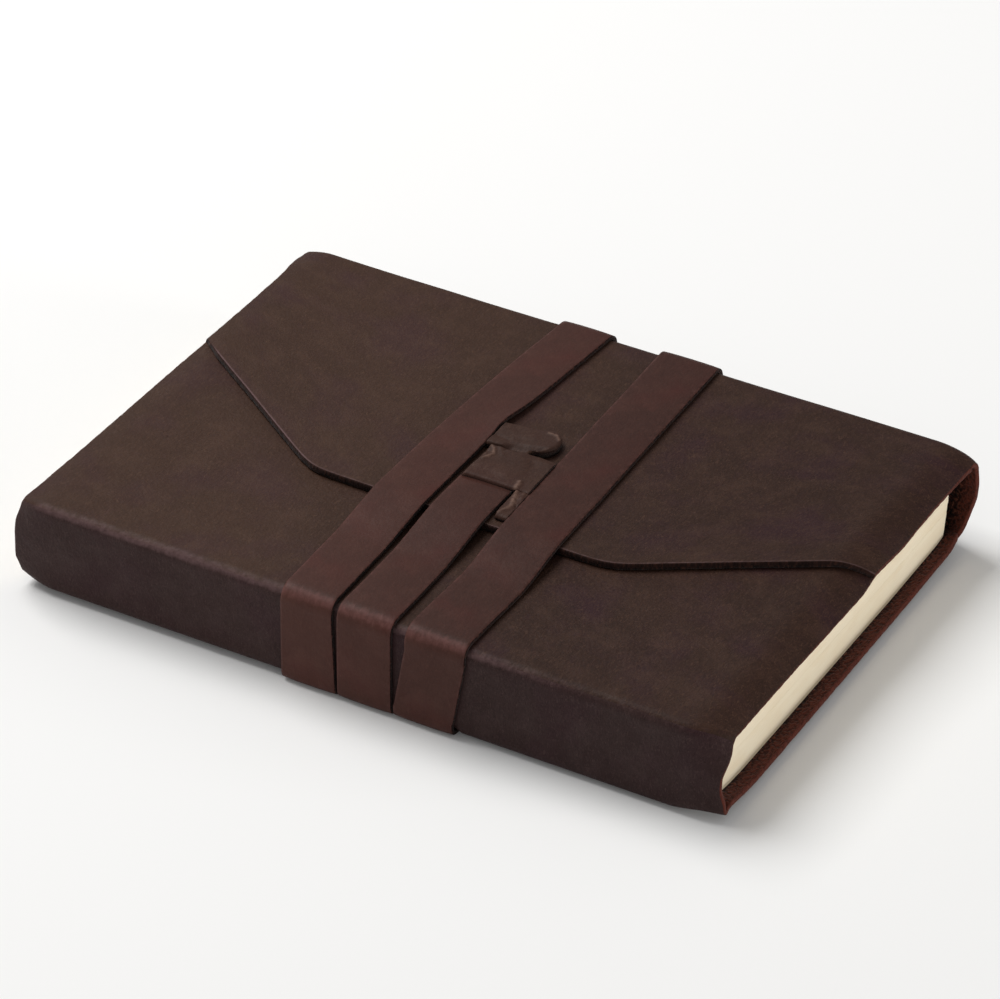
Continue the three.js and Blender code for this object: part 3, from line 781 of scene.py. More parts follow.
def fold_wear_and_highlight(strength, centre, side):
    """Painted lighter along a fold, mostly on its upper half, as rubbed leather and painted highlight.
    side is -1 or 1 along Y.
    """
    def wear_and_highlight(points):
        x = points[..., 0]
        y, z = (points[..., 1] - centre[0]) * side, points[..., 2] - centre[1]
        angle = np.degrees(np.arctan2(z, y))
        here = np.hypot(y, z) < RUB_AND_HIGHLIGHT_DEPTH
        along = (1 - RUB_AND_HIGHLIGHT_LESS_RIGHT * ramp(x, *RUB_AND_HIGHLIGHT_RIGHT_STEP)) * ramp(x, *RUB_AND_HIGHLIGHT_LEFT_STEP)
        return strength * ramp(angle, *RUB_AND_HIGHLIGHT_STEP) * (1 - ramp(angle, *RUB_AND_HIGHLIGHT_TOP_STEP)) * here * along
    return wear_and_highlight


# The hide, in four stretches that meet where the leather lies still. Each one's profile
# starts at a length of its own, in metres, so that no two show the same piece of leather.
SPINE_START = 1.0
BACK_START = 1.04
FLAP_START = 1.22
SEAM_ANGLE = 135
UNDER_SEAM = NEAR_Y + 10 * MM

# How far a blend would reach to either side of its fold; only its ends are worked out
SEAM_BLEND = (0.0, 5 * MM)
HIDE_BLEND = (-3 * MM, 3.6 * MM)
STRAP_BLEND = (-3.6 * MM, 4.2 * MM)

# The flap's outline and the cover's end below it
FLAP_KNEE_LEFT = -46.5 * MM
FLAP_KNEE_RIGHT = 48.5 * MM
FLAP_KNEE_SOFT = 1.6 * MM
FLAP_LEFT_END = FAR_FACE - 59.5 * MM
FLAP_RIGHT_END = FAR_FACE - 64.5 * MM
FLAP_SHORT_LEFT = 1.6 * MM
FLAP_SHORT_STEP = (0.0, 0.3)
COVER_SHORT_RIGHT = 0.7 * MM
COVER_SHORT_STEP = (5 * MM, 16 * MM)
END_SETBACK = 0.4 * MM
FLAP_FINE = 4 * MM

# How much lighter the flap's free edge is painted on the left and on the right, as rubbed leather and a
# painted highlight on the rim, stronger where the light falls, and how far inwards
FLAP_RUB_AND_HIGHLIGHT_LEFT = 1.05
FLAP_RUB_AND_HIGHLIGHT_RIGHT = 0.55
FLAP_RUB_AND_HIGHLIGHT_STEP = (FLAP_KNEE_LEFT - 6 * MM, FLAP_KNEE_LEFT + 4 * MM)
FLAP_RUB_AND_HIGHLIGHT_REACH = (0.25 * MM, 0.85 * MM)


def bend_across(obj, fold, direction, reach):
    """Bakes a piece's transform into its mesh. It also works out the ends of a blend across a fold,
    along the direction in Y and Z that bisects it, but leaves them unused.
    """
    away = np.array([0.0, *direction]) / math.sqrt(2)
    origin = np.array([0.0, *fold])
    start, end = (tuple(origin + away * distance) for distance in reach)
    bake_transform(obj)
    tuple(start)
    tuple(end)


seam = bend(NEAR_UPPER, FOLD, SEAM_ANGLE)[0]
near_wear_and_highlight = fold_wear_and_highlight(NEAR_RUB_AND_HIGHLIGHT, NEAR_UPPER, -1)


def front_cover():
    profile = Profile()
    profile.arc(NEAR_UPPER, FOLD, SEAM_ANGLE, 90)
    profile.line((NEAR_Y, COVER_TOP), (COVER_FAR - END_SETBACK, COVER_TOP), (0, 1), FINE_SPACING)

    def under_flap(x, y):
        return x - COVER_SHORT_RIGHT * past(x, RIGHT_SOFT, 1) * ramp(y, *COVER_SHORT_STEP), y

    obj = lay_hide("hide_front", profile, (0, 1, 0), 21, under_flap, near_wear_and_highlight)
    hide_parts("front_cover")
    bend_across(obj, seam, (1, 1), SEAM_BLEND)


def spine():
    profile = Profile(SPINE_START)
    profile.arc(NEAR_UPPER, FOLD, SEAM_ANGLE, 180)
    profile.line((NEAR_FACE, NEAR_TOP_Z), (NEAR_FACE, LOW_Z), (-1, 0), FACE_SPACING)
    profile.arc(NEAR_LOWER, FOLD, 180, 270)
    profile.line((NEAR_Y, UNDERSIDE), (UNDER_SEAM, UNDERSIDE), (0, -1))
    obj = lay_hide("hide_spine", profile, None, 22, wear_and_highlight=near_wear_and_highlight, leather=SHADED_SPINE_LEATHER)
    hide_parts("spine_fold", "spine_panel")
    bend_across(obj, seam, (-1, -1), SEAM_BLEND)


def back_cover():
    profile = Profile(BACK_START)
    profile.line((UNDER_SEAM, UNDERSIDE), (FAR_Y, UNDERSIDE), (0, -1), FINE_SPACING)
    profile.arc(FAR_LOWER, FOLD, 270, 360)
    profile.line((FAR_FACE, LOW_Z), (FAR_FACE, MIDDLE_WALL_Z), (1, 0), FACE_SPACING)
    obj = lay_hide("hide_back", profile, None, 23)
    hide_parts("back_cover")
    bend_across(obj, FAR_LOWER, (1, 1), HIDE_BLEND)


def flap_free_edge(x):
    """Where the flap's free edge lies in Y: straight in the middle, slanting to both ends."""
    left = (FLAP_LEFT_END - FLAP_EDGE) * (FLAP_KNEE_LEFT - x) / (FLAP_KNEE_LEFT + END_X)
    right = (FLAP_RIGHT_END - FLAP_EDGE) * (x - FLAP_KNEE_RIGHT) / (END_X - FLAP_KNEE_RIGHT)
    slant = np.logaddexp(0, np.maximum(left, right) / FLAP_KNEE_SOFT) * FLAP_KNEE_SOFT
    return FLAP_EDGE + END_SETBACK + slant


def flap():
    profile = Profile(FLAP_START)
    profile.line((FAR_FACE, MIDDLE_WALL_Z), (FAR_FACE, FAR_TOP_Z), (1, 0), FACE_SPACING)
    profile.arc(FAR_UPPER, FOLD, 0, 90)
    fine_from = FLAP_EDGE + FLAP_FINE
    profile.line((FAR_Y, FLAP_TOP), (fine_from, FLAP_TOP), (0, 1), FINE_SPACING)
    profile.line((fine_from, FLAP_TOP), (FLAP_EDGE, FLAP_TOP), (0, 1), EDGE_SPACING)
    far_wear_and_highlight = fold_wear_and_highlight(FAR_RUB_AND_HIGHLIGHT, FAR_UPPER, 1)

    def shift(x, y):
        share = np.clip((FAR_Y - y) / (FAR_Y - FLAP_EDGE), 0, 1)
        new_y = np.where(y > FAR_Y, y, FAR_Y + (flap_free_edge(x) - FAR_Y) * share)
        return x + FLAP_SHORT_LEFT * past(-x, LEFT_SOFT, 1) * ramp(share, *FLAP_SHORT_STEP), new_y

    def wear_and_highlight(points):
        x = points[..., 0]
        strength = FLAP_RUB_AND_HIGHLIGHT_LEFT + (FLAP_RUB_AND_HIGHLIGHT_RIGHT - FLAP_RUB_AND_HIGHLIGHT_LEFT) * ramp(x, *FLAP_RUB_AND_HIGHLIGHT_STEP)
        # Painted highlight with rubbing along the free edge's rim
        free = strength * (1 - ramp(points[..., 1] - flap_free_edge(x), *FLAP_RUB_AND_HIGHLIGHT_REACH))
        return np.maximum(far_wear_and_highlight(points), free)

    obj = lay_hide("hide_flap", profile, (0, -1, 0), 24, shift, wear_and_highlight)
    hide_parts("closing_flap", "fore_edge_wall")
    bend_across(obj, FAR_UPPER, (-1, 1), HIDE_BLEND)


# The strap. Its section holds places across it and off it, both from -1 to 1, with soft edges.
TOP_POINTS = 9
TOP_ACROSS = np.sin(np.linspace(-1, 1, TOP_POINTS) * math.pi / 2) * 0.985
SOFT_EDGE = [(0.995, 0.55), (1.0, 0.0), (0.995, -0.55)]
STRAP_SECTION = np.array(
    [(a, 1.0) for a in TOP_ACROSS] + SOFT_EDGE
    + [(a, -1.0) for a in TOP_ACROSS[::-1]] + [(-a, b) for a, b in SOFT_EDGE[::-1]]
)
CROWN = 0.14 * MM
EDGE_THINNING = 0.12
STRAP_WAVE = (0.017, 0.10 * MM)
STRAP_UV_OFFSET = 0.3
LYING_FLAT = 0.99

# How rubbed the strap is on its edges, how much lighter its near upper fold is painted, as rubbed
# leather and painted highlight, and how much paler its run down the spine is painted, as painted light.
# The fold's and the spine's steps read the strap's outward normal.
EDGE_RUB = 0.5
EDGE_RUB_POWER = 14
FOLD_RUB_AND_HIGHLIGHT = 0.66
FOLD_RUB_AND_HIGHLIGHT_SIDE_STEP = (0.05, 0.5)
FOLD_RUB_AND_HIGHLIGHT_TOP_STEP = (0.15, 0.7)
SPINE_PAINTED_LIGHT = 1.0
SPINE_PAINTED_LIGHT_STEP = (0.6, 0.95)


def strap_piece(name, path, centres, widths, caps, seed, lift=None):
    """A strap run along path, a list of (y, z, normal y, normal z).

    centres and widths hold the strap's middle in X and its width at each point of the path.
    caps says which of its two ends are closed. lift(y, a) raises place a of the section
    where the strap lies flat on top.
    """
    a, b = STRAP_SECTION.T
    ring = len(STRAP_SECTION)
    vertices, uvs, wear_and_highlight, lit_pale = [], [], [], []
    length = 0.0
    previous = None
    off = b * STRAP_THICK / 2 * (1 - EDGE_THINNING * np.abs(a) ** 6) - CROWN * a * a
    edges = EDGE_RUB * np.abs(a) ** EDGE_RUB_POWER * (b > -0.2)
    for (y, z, ny, nz), x, width in zip(path, centres, widths):
        centre = np.array([x, y, z])
        if previous is not None:
            length += np.linalg.norm(centre - previous)
        previous = centre
        across = a * (width / 2)
        raised = off + lift(y, a) if lift and nz > LYING_FLAT else off
        vertices.append(centre + X_AXIS * across[:, None] + np.array([0.0, ny, nz]) * raised[:, None])
        uvs.append(np.stack([across + STRAP_UV_OFFSET * (b < 0), np.full(ring, length)], 1))
        # Painted highlight with rubbing on the near upper fold, and painted light on the spine face
        rubbed_and_lit = FOLD_RUB_AND_HIGHLIGHT * ramp(-ny, *FOLD_RUB_AND_HIGHLIGHT_SIDE_STEP) * ramp(nz, *FOLD_RUB_AND_HIGHLIGHT_TOP_STEP)
        wear_and_highlight.append(np.maximum(edges, rubbed_and_lit * (b > 0.9)))
        lit_pale.append(np.full(ring, SPINE_PAINTED_LIGHT * ramp(-ny, *SPINE_PAINTED_LIGHT_STEP)))
    vertices = np.array(vertices)
    wave = make_noise(seed)(vertices, STRAP_WAVE[0]) * STRAP_WAVE[1]
    vertices = vertices + wave[..., None] * X_AXIS
    faces = tube(len(path), ring)
    index = ([0] * (TOP_POINTS - 1) + [1] * (ring - TOP_POINTS + 1)) * (len(path) - 1)
    ends = (range(ring)[::-1], range((len(path) - 1) * ring, len(path) * ring))
    for closed, end in zip(caps, ends):
        if closed:
            faces.append(tuple(end))
            index.append(1)
    materials = [STRAP_LEATHER, STRAP_EDGE_AND_SHADE]
    obj = mesh_object(name, vertices, faces, uvs, index, materials, "wear_and_highlight", wear_and_highlight, lit_pale)
    clean(obj, FINE_JOIN)
    return obj


# The strap's turns, the levels of its middle, and its drop from flap to cover
TURN = FOLD + STRAP_OFF
HUGGING = UNDERSIDE - STRAP_OFF
TABLE = STRAP_THICK / 2
OVER_COVER = COVER_TOP + STRAP_OFF
OVER_FLAP = FLAP_TOP + STRAP_OFF
DROP_FROM = FLAP_EDGE - 0.3 * MM
DROP_LONG = 22 * MM
SEAM_Y = 45 * MM
LOWER_Z = LOW_Z - SAG_OVER_STRAP
LOWER_FOLD = (NEAR_Y, LOWER_Z)
UNDER_FROM = NEAR_Y + 0.3 * MM

# Where the runs lie in X, how wide they are, and how they bow, hook and gather
LEFT_NEAR = centre_x("strap_spine_left") - 1.1 * MM
LEFT_BOTTOM = centre_x("strap_spine_left") - 0.7 * MM
LEFT_FAR = centre_x("strap_wall_left") - 2.7 * MM
LEFT_BOW = -2.6 * MM
LEFT_WIDE = 16.1 * MM
LEFT_WIDE_LOW = 17.1 * MM
MIDDLE_NEAR = centre_x("strap_spine_middle") - 1.8 * MM
MIDDLE_WIDE = 16.9 * MM
MIDDLE_TOP = 0.9 * MM
MIDDLE_NECK = 16.4 * MM
MIDDLE_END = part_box("strap_front_middle")[1].y
right_low, right_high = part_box("strap_spine_right")
RIGHT_NEAR = right_high.x - STRAP_WIDE / 2 + 1.0 * MM
RIGHT_BOTTOM = right_low.x + STRAP_WIDE / 2 - 2.7 * MM
RIGHT_FAR = centre_x("strap_wall_right") - 1.5 * MM
RIGHT_HOOK = 1.5 * MM
RIGHT_HOOK_STEP = (38 * MM, 77 * MM)
KNOT_Y = 19 * MM
NOTCH_DEEP = 1.0 * MM
NOTCH_LONG = 8 * MM
LIFT_HIGH = 1.1 * MM
LIFT_LONG = 17 * MM
LIFT_ACROSS = -0.2
TAIL_POINT = 7 * MM
TAIL_NARROWS = 0.66


def over_top(y):
    """Height of a run's middle over the book's top at y."""
    share = np.clip((DROP_FROM - np.asarray(y, float)) / DROP_LONG, 0, 1)
    return OVER_FLAP + (OVER_COVER - OVER_FLAP) * (0.7 * share + 0.3 * smooth(share))


def top_stretch(start, end):
    ys = np.linspace(start, end, max(2, int(abs(end - start) / ROW_SPACING)))
    return [(y, float(over_top(y)), 0.0, 1.0) for y in ys]


def turn(centre, start, end, count=ARC_STEPS, power=None):
    bends = [bend(centre, TURN, a, power) for a in np.linspace(start, end, count + 1)]
    return [(*point, *normal) for point, normal in bends]


def run_centre(near, far, bow):
    def at(y):
        t = min(1.0, max(0.0, (y - NEAR_FACE) / (FAR_FACE - NEAR_FACE)))
        return near + (far - near) * t + bow * math.sin(math.pi * t)
    return at


left_run = run_centre(LEFT_NEAR, LEFT_FAR, LEFT_BOW)
right_run = run_centre(RIGHT_NEAR, RIGHT_FAR, 0.0)


def notch(y):
    """Where the knot pulls in the left run's right-hand edge."""
    return NOTCH_DEEP * float(bell(y, KNOT_Y, NOTCH_LONG))


def left_centre(y):
    return left_run(y) - notch(y) / 2


def left_width(y):
    return LEFT_WIDE - notch(y)


def left_lift(y, a):
    """The left run's right-hand edge rises where it passes the knot."""
    rise = LIFT_HIGH * bell(y, KNOT_Y, LIFT_LONG)
    return rise * np.maximum(0.0, (a - LIFT_ACROSS) / (1 - LIFT_ACROSS)) ** 2


def right_centre(y):
    return right_run(y) - RIGHT_HOOK * float(ramp(-y, *RIGHT_HOOK_STEP))


def right_width(y):
    return STRAP_WIDE


def gathered(y, wide, narrow):
    """How a size of the middle run changes on the way up to the knot."""
    return wide + (narrow - wide) * float(ramp(y, NEAR_Y, MIDDLE_END))


def middle_centre(y):
    return gathered(y, MIDDLE_NEAR, MIDDLE_TOP)


def middle_width(y):
    return gathered(y, MIDDLE_WIDE, MIDDLE_NECK)


def upright(y, start, end, count, facing):
    """Places up or down one of the long faces."""
    return [(y, z, facing, 0.0) for z in np.linspace(start, end, count)]


def run_over(name, centre, width, nodes, seed, lift=None):
    """From the middle of the fore-edge wall, over the far fold, to a seam on the front."""
    path = upright(FAR_FACE + STRAP_OFF, MIDDLE_WALL_Z, FAR_TOP_Z, 8, 1.0)
    path += turn(FAR_UPPER, 0, 90)[1:]
    path += top_stretch(FAR_Y - MM, SEAM_Y)
    centres = [centre(place[0]) for place in path]
    widths = [width(place[0]) for place in path]
    obj = strap_piece(name, path, centres, widths, (False, False), seed, lift)
    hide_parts(*nodes)
    bend_across(obj, FAR_UPPER, (-1, 1), STRAP_BLEND)


def run_down(name, centre, bottom, width, low_width, nodes, seed, first=SEAM_Y, lift=None):
    """Across the front, round the near fold and down the spine to the book's underside."""
    path = top_stretch(first, NEAR_Y + MM) + turn(NEAR_UPPER, 90, 180)
    spine_from = len(path)
    path += upright(NEAR_FACE - STRAP_OFF, NEAR_TOP_Z, LOWER_Z, 14, -1.0)[1:]
    spine_to = len(path)
    path += turn(LOWER_FOLD, 180, 270, 18, LOW_POWER)[1:]
    top_x = centre(NEAR_FACE)
    centres, widths = [], []
    for i, (y, *_) in enumerate(path):
        share = min(1.0, max(0.0, (i - spine_from) / (spine_to - spine_from)))
        centres.append(centre(y) if i < spine_from else top_x + (bottom - top_x) * share)
        widths.append(width(y) + (low_width - width(NEAR_FACE)) * share)
    obj = strap_piece(name, path, centres, widths, (first != SEAM_Y, True), seed, lift)
    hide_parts(*nodes)
    bend_across(obj, NEAR_UPPER, (-1, -1), STRAP_BLEND)


def run_under(name, near, far, level, near_width, far_width, nodes, seed):
    """Under the book from the spine, round the far lower fold, to the middle of the wall."""
    first, last = UNDER_FROM + BACK_SLOPE, FAR_Y - BACK_SLOPE
    ys = np.concatenate([
        np.linspace(UNDER_FROM, first, 6),
        np.linspace(first, last, 60)[1:],
        np.linspace(last, FAR_Y, 6)[1:],
    ])
    up = ramp(ys, UNDER_FROM, first) * (1 - ramp(ys, last, FAR_Y))
    path = [(y, TABLE + (level - TABLE) * share, 0.0, -1.0) for y, share in zip(ys, up)]
    path += turn((FAR_Y, LOWER_Z), 270, 360)[1:]
    path += upright(FAR_FACE + STRAP_OFF, LOWER_Z, MIDDLE_WALL_Z, 9, 1.0)[1:]
    along = ramp([place[0] for place in path], UNDER_FROM, FAR_Y)
    centres = near + (far - near) * along
    widths = near_width + (far_width - near_width) * along
    obj = strap_piece(name, path, centres, widths, (True, False), seed)
    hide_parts(*nodes)
    bend_across(obj, FAR_LOWER, (1, 1), STRAP_BLEND)


def strap_tail():
    end_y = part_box("strap_tail")[1].y
    ys = np.linspace(UNDER_FROM, end_y, 26)
    path = [(y, TABLE, 0.0, -1.0) for y in ys]
    pointed = np.clip((ys - end_y + TAIL_POINT) / TAIL_POINT, 0, 1) ** 1.3
    widths = LEFT_WIDE_LOW * (1 - TAIL_NARROWS * pointed)
    obj = strap_piece("strap_tail_end", path, [LEFT_BOTTOM] * len(ys), widths, (True, True), 37)
    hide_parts("strap_tail")
    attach(obj, "book")


def make_strap():
    run_over("strap_left_over", left_centre, left_width, ["strap_wall_left"], 31, left_lift)
    run_down(
        "strap_left_down", left_centre, LEFT_BOTTOM, left_width, LEFT_WIDE_LOW,
        ["strap_front_left", "strap_spine_left"], 31, lift=left_lift,
    )
    run_over("strap_right_over", right_centre, right_width, ["strap_wall_right"], 32)
    run_down(
        "strap_right_down", right_centre, RIGHT_BOTTOM, right_width, STRAP_WIDE,
        ["strap_front_right", "strap_spine_right"], 32,
    )
    run_down(
        "strap_middle_down", middle_centre, MIDDLE_NEAR, middle_width, MIDDLE_WIDE,
        ["strap_front_middle", "strap_spine_middle"], 33, first=MIDDLE_END,
    )
    run_under(
        "strap_under_inner", MIDDLE_NEAR, right_centre(FAR_FACE), HUGGING, MIDDLE_WIDE, STRAP_WIDE,
        ["strap_back_inner"], 34,
    )
    run_under(
        "strap_under_outer", RIGHT_BOTTOM, left_centre(FAR_FACE), TABLE, STRAP_WIDE,
        left_width(FAR_FACE), ["strap_back_outer"], 35,
    )
    strap_tail()


# The knot
KNOT_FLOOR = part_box("knot_band")[0].z
LEAST_RISE = 0.25 * MM
UNDERSIDE_UV_OFFSET = 0.2


def lump(name, node, columns, rows, outline, height):
    """A soft lump of leather: a height field over the outline's grid, with a flat underside.

    outline(u, v) gives x and y, and height(u, v, x, y) the height and how much painted highlight lies
    there.
    It stands for the model's node and lies on the flap.
    """
    u, v = np.meshgrid(np.linspace(0, 1, columns), np.linspace(0, 1, rows))
    x, y = outline(u, v)
    rise, wear_and_highlight = height(u, v, x, y)
    top = np.stack([x, y, KNOT_FLOOR + np.maximum(rise, LEAST_RISE)], -1)
    under = np.stack([x, y, np.full_like(x, KNOT_FLOOR)], -1)
    layer = columns * rows
    grid = np.arange(layer).reshape(rows, columns)
    faces = []
    for a in grid[:-1, :-1].ravel().tolist():
        faces.append((a, a + 1, a + columns + 1, a + columns))
        faces.append((layer + a, layer + a + columns, layer + a + columns + 1, layer + a + 1))
    rim = np.concatenate([grid[0], grid[1:, -1], grid[-1, -2::-1], grid[-2:0:-1, 0]]).tolist()
    # The rim faces take the dark strap edge leather, as painted shade under the lump's edges
    index = [0] * len(faces) + [1] * len(rim)
    for a, b in zip(rim, rim[1:] + rim[:1]):
        faces.append((b, a, layer + a, layer + b))
    flat = np.stack([x, y], -1)
    worn_and_lit = np.clip(wear_and_highlight, 0, 1)
    obj = mesh_object(
        name, [top, under], faces, [flat, flat + UNDERSIDE_UV_OFFSET], index,
        [KNOT_LEATHER, STRAP_EDGE_AND_SHADE], "wear_and_highlight", [worn_and_lit, worn_and_lit * 0],
    )
    clean(obj, FINE_JOIN)
    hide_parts(node)
    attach(obj, "flap")


def rounded(distance, radius):
    """The rise of a soft rim, from 0 at the edge to 1 at radius away from it."""
    t = np.clip(distance / radius, 0, 1)
    return np.sqrt(1 - (1 - t) ** 2)


def wrinkle(x, y, path, width):
    """A fold along a path given in millimetres: 1 on the path, fading over its width."""
    gap = np.full(x.shape, 1.0)
    for (x0, y0), (x1, y1) in zip(path, path[1:]):
        ax, ay, bx, by = x0 * MM, y0 * MM, (x1 - x0) * MM, (y1 - y0) * MM
        t = np.clip(((x - ax) * bx + (y - ay) * by) / (bx * bx + by * by), 0, 1)
        gap = np.minimum(gap, np.hypot(x - ax - bx * t, y - ay - by * t))
    return bell(gap, 0, width * MM)


# Folds of the knot, as (path in millimetres, half width, height, how much painted highlight lies on its
# ridge)
BAND_FOLDS = [
    ([(-7.0, 6.4), (-5.0, 5.2), (-3.8, 2.4), (-5.2, -0.6)], 0.6, 0.42, 0.6),
    ([(-4.8, 7.7), (-2.8, 5.6), (-1.2, 3.4)], 0.7, 0.28, 0.2),
    ([(-6.6, 3.4), (-5.2, 3.6)], 0.6, -0.4, 0.0),
    ([(-2.6, 7.9), (-1.8, 5.4)], 0.6, -0.3, 0.0),
    ([(-6.8, -4.6), (-1.0, -3.4), (4.0, -5.0)], 2.0, 0.22, 0.1),
    ([(5.5, 7.4), (8.4, 3.6), (9.4, -1.0)], 1.8, -0.3, 0.0),
    ([(9.4, -5.8), (9.9, -9.0)], 0.8, 0.45, 0.62),
]
TAB_FOLDS = [
    ([(-8.4, 16.6), (-3.0, 15.0), (2.0, 15.6)], 1.6, 0.2, 0.1),
    ([(-1.2, 8.9), (3.6, 9.7), (6.6, 9.6)], 0.6, 0.16, 0.3),
    ([(4.4, 19.8), (7.4, 19.2), (9.0, 17.4)], 0.5, 0.2, 0.6),
    ([(-8.2, 12.2), (-4.2, 11.6)], 0.9, -0.3, 0.0),
]
TWIST_FOLDS = [
    ([(10.0, -8.8), (11.6, -12.0), (12.2, -15.0)], 0.9, 0.5, 0.7),
    ([(12.6, -8.8), (13.4, -11.8)], 0.7, 0.35, 0.3),
    ([(12.6, -15.2), (12.2, -18.2), (11.0, -20.6)], 0.9, 0.4, 0.5),
    ([(11.2, -9.8), (12.9, -14.4), (14.2, -16.4)], 0.5, -0.4, 0.0),
]

# The gap beside the strap's right run, and the leather's fine ripple as length and height
RUN_GAP = 0.05 * MM
RIPPLE = (0.0042, 0.16 * MM)

# The band: its left side, its height, its rims and how much lower it is on its right. Its near
# end slants, from past its solid on the left to short of it on the right. Its far end runs in
# under the tab and sinks there, deeper on the left than on the right.
BAND_LEFT = -7.1 * MM
BAND_FULL = 2.35 * MM
BAND_RIM = 1.5 * MM
BAND_NEAR_RIM = 0.07
BAND_LOWER_RIGHT = 0.22
BAND_LOWER_STEP = (0.5, 1.0)
BAND_NEAR_LEFT = 0.5 * MM
BAND_NEAR_RIGHT = 0.3 * MM
BAND_UNDER_TAB = 0.4 * MM
UNDER_TAB_STEP = (6.2 * MM, 8.2 * MM)
UNDER_TAB_LEFT = 0.55
UNDER_TAB_RIGHT = 0.25
UNDER_TAB_ACROSS = (0.35, 0.5)

# The tab: its left side, its height, its rim and the wall below it, how deep its near side
# sinks, how its tip ends and rises, how it lies over its solid, and how it slants
TAB_LEFT = -8.9 * MM
TAB_FULL = 1.9 * MM
TAB_RIM = 1.1 * MM
TAB_WALL = 0.55
TAB_TIP_WALL = 0.67
TAB_TIP_WALL_STEP = (0.8, 0.97)
TAB_SUNK = 0.7
TAB_SUNK_STEP = (0.25, 0.45)
TAB_SUNK_END_STEP = (0.88, 1.0)
TAB_NEAR_STEP = (0.0, 0.3)
TAB_TIP_SHORT = 1.0 * MM
TAB_TIP_BLUNT = 0.85
TAB_TIP_RISE = 0.7 * MM
TAB_TIP_RISE_STEP = (0.55, 1.0)
TAB_FAR_OVER = 0.8 * MM
TAB_WIDER = 0.4 * MM
TAB_SLANT = 2.0 * MM
TAB_SLANT_START = 0.6 * MM

# The twist: its height, how far it runs past its solid at both ends, how its left side lies,
# and its rims as shares of its length and width
TWIST_FULL = 1.35 * MM
TWIST_NEAR = 0.6 * MM
TWIST_FAR = 0.75 * MM
TWIST_IN = 0.1 * MM
TWIST_NARROWS = 0.8 * MM
TWIST_NARROWS_STEP = (0.0, 0.35)
TWIST_END_RIM = 0.12
TWIST_SIDE_RIM = 0.25


def folds(x, y, listed):
    rise, worn_and_lit = np.zeros_like(x), np.zeros_like(x)
    for path, width, height, rub_and_highlight in listed:
        share = wrinkle(x, y, path, width)
        rise = rise + share * height * MM
        worn_and_lit = np.maximum(worn_and_lit, share * rub_and_highlight)
    return rise, worn_and_lit


def beside_right_run(y):
    return np.vectorize(right_centre)(y) - STRAP_WIDE / 2 - RUN_GAP


def knot_ripple(x, y):
    return hide_noise(np.stack([x, y, x * 0], -1), RIPPLE[0]) * RIPPLE[1]


def knot_band():
    near_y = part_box("knot_band")[0].y
    top_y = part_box("knot_tab")[0].y + BAND_UNDER_TAB

    def outline(u, v):
        low_y = near_y - BAND_NEAR_LEFT * (1 - u) + BAND_NEAR_RIGHT * u
        y = low_y + (top_y - low_y) * v
        return BAND_LEFT + (beside_right_run(y) - BAND_LEFT) * u, y

    def height(u, v, x, y):
        rim = rounded(x - BAND_LEFT, BAND_RIM) * (0.5 + 0.5 * rounded(v, BAND_NEAR_RIM))
        sunk = UNDER_TAB_LEFT - (UNDER_TAB_LEFT - UNDER_TAB_RIGHT) * ramp(u, *UNDER_TAB_ACROSS)
        under_tab = 1 - sunk * ramp(y, *UNDER_TAB_STEP)
        full = BAND_FULL * (1 - BAND_LOWER_RIGHT * ramp(u, *BAND_LOWER_STEP))
        rise, worn_and_lit = folds(x, y, BAND_FOLDS)
        return full * (0.2 + 0.8 * rim) * under_tab + rise + knot_ripple(x, y), worn_and_lit

    lump("knot_band_gathered", "knot_band", 78, 66, outline, height)


def knot_tab():
    low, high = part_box("knot_tab")
    tip = high.x - TAB_TIP_SHORT
    middle = (low.y + high.y + TAB_FAR_OVER) / 2
    radius = (high.y - low.y + TAB_WIDER) / 2

    def outline(u, v):
        share = 2 * v - 1
        reach = tip - radius + radius * np.sqrt(np.clip(1 - share ** 2, 0, 1)) ** TAB_TIP_BLUNT
        slope = TAB_SLANT * u - TAB_SLANT_START
        return TAB_LEFT + (reach - TAB_LEFT) * u, middle + radius * share + slope

    def height(u, v, x, y):
        side = np.minimum(np.minimum(v, 1 - v) * 2 * radius, (1 - u) * (tip - TAB_LEFT))
        lifted = TAB_TIP_RISE * ramp(u, *TAB_TIP_RISE_STEP)
        wall = TAB_WALL + (TAB_TIP_WALL - TAB_WALL) * ramp(u, *TAB_TIP_WALL_STEP)
        rim = wall + (1 - wall) * rounded(side, TAB_RIM)
        between_ends = ramp(u, *TAB_SUNK_STEP) * (1 - ramp(u, *TAB_SUNK_END_STEP))
        near_side = 1 - TAB_SUNK * (1 - ramp(v, *TAB_NEAR_STEP)) * between_ends
        rise, worn_and_lit = folds(x, y, TAB_FOLDS)
        return (TAB_FULL + lifted) * rim * near_side + rise + knot_ripple(x, y), worn_and_lit

    lump("knot_tab_end", "knot_tab", 60, 46, outline, height)


def knot_twist():
    low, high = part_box("knot_twist")

    def outline(u, v):
        y = low.y - TWIST_NEAR + (high.y + TWIST_FAR - low.y + TWIST_NEAR) * v
        left = low.x + TWIST_IN + TWIST_NARROWS * (1 - ramp(v, *TWIST_NARROWS_STEP))
        return left + (beside_right_run(y) - left) * u, y

    def height(u, v, x, y):
        rim = rounded(v, TWIST_END_RIM) * (0.4 + 0.6 * rounded(u, TWIST_SIDE_RIM))
        rise, worn_and_lit = folds(x, y, TWIST_FOLDS)
        return TWIST_FULL * (0.25 + 0.75 * rim) + rise + knot_ripple(x, y), worn_and_lit

    lump("knot_twist_pucker", "knot_twist", 26, 60, outline, height)


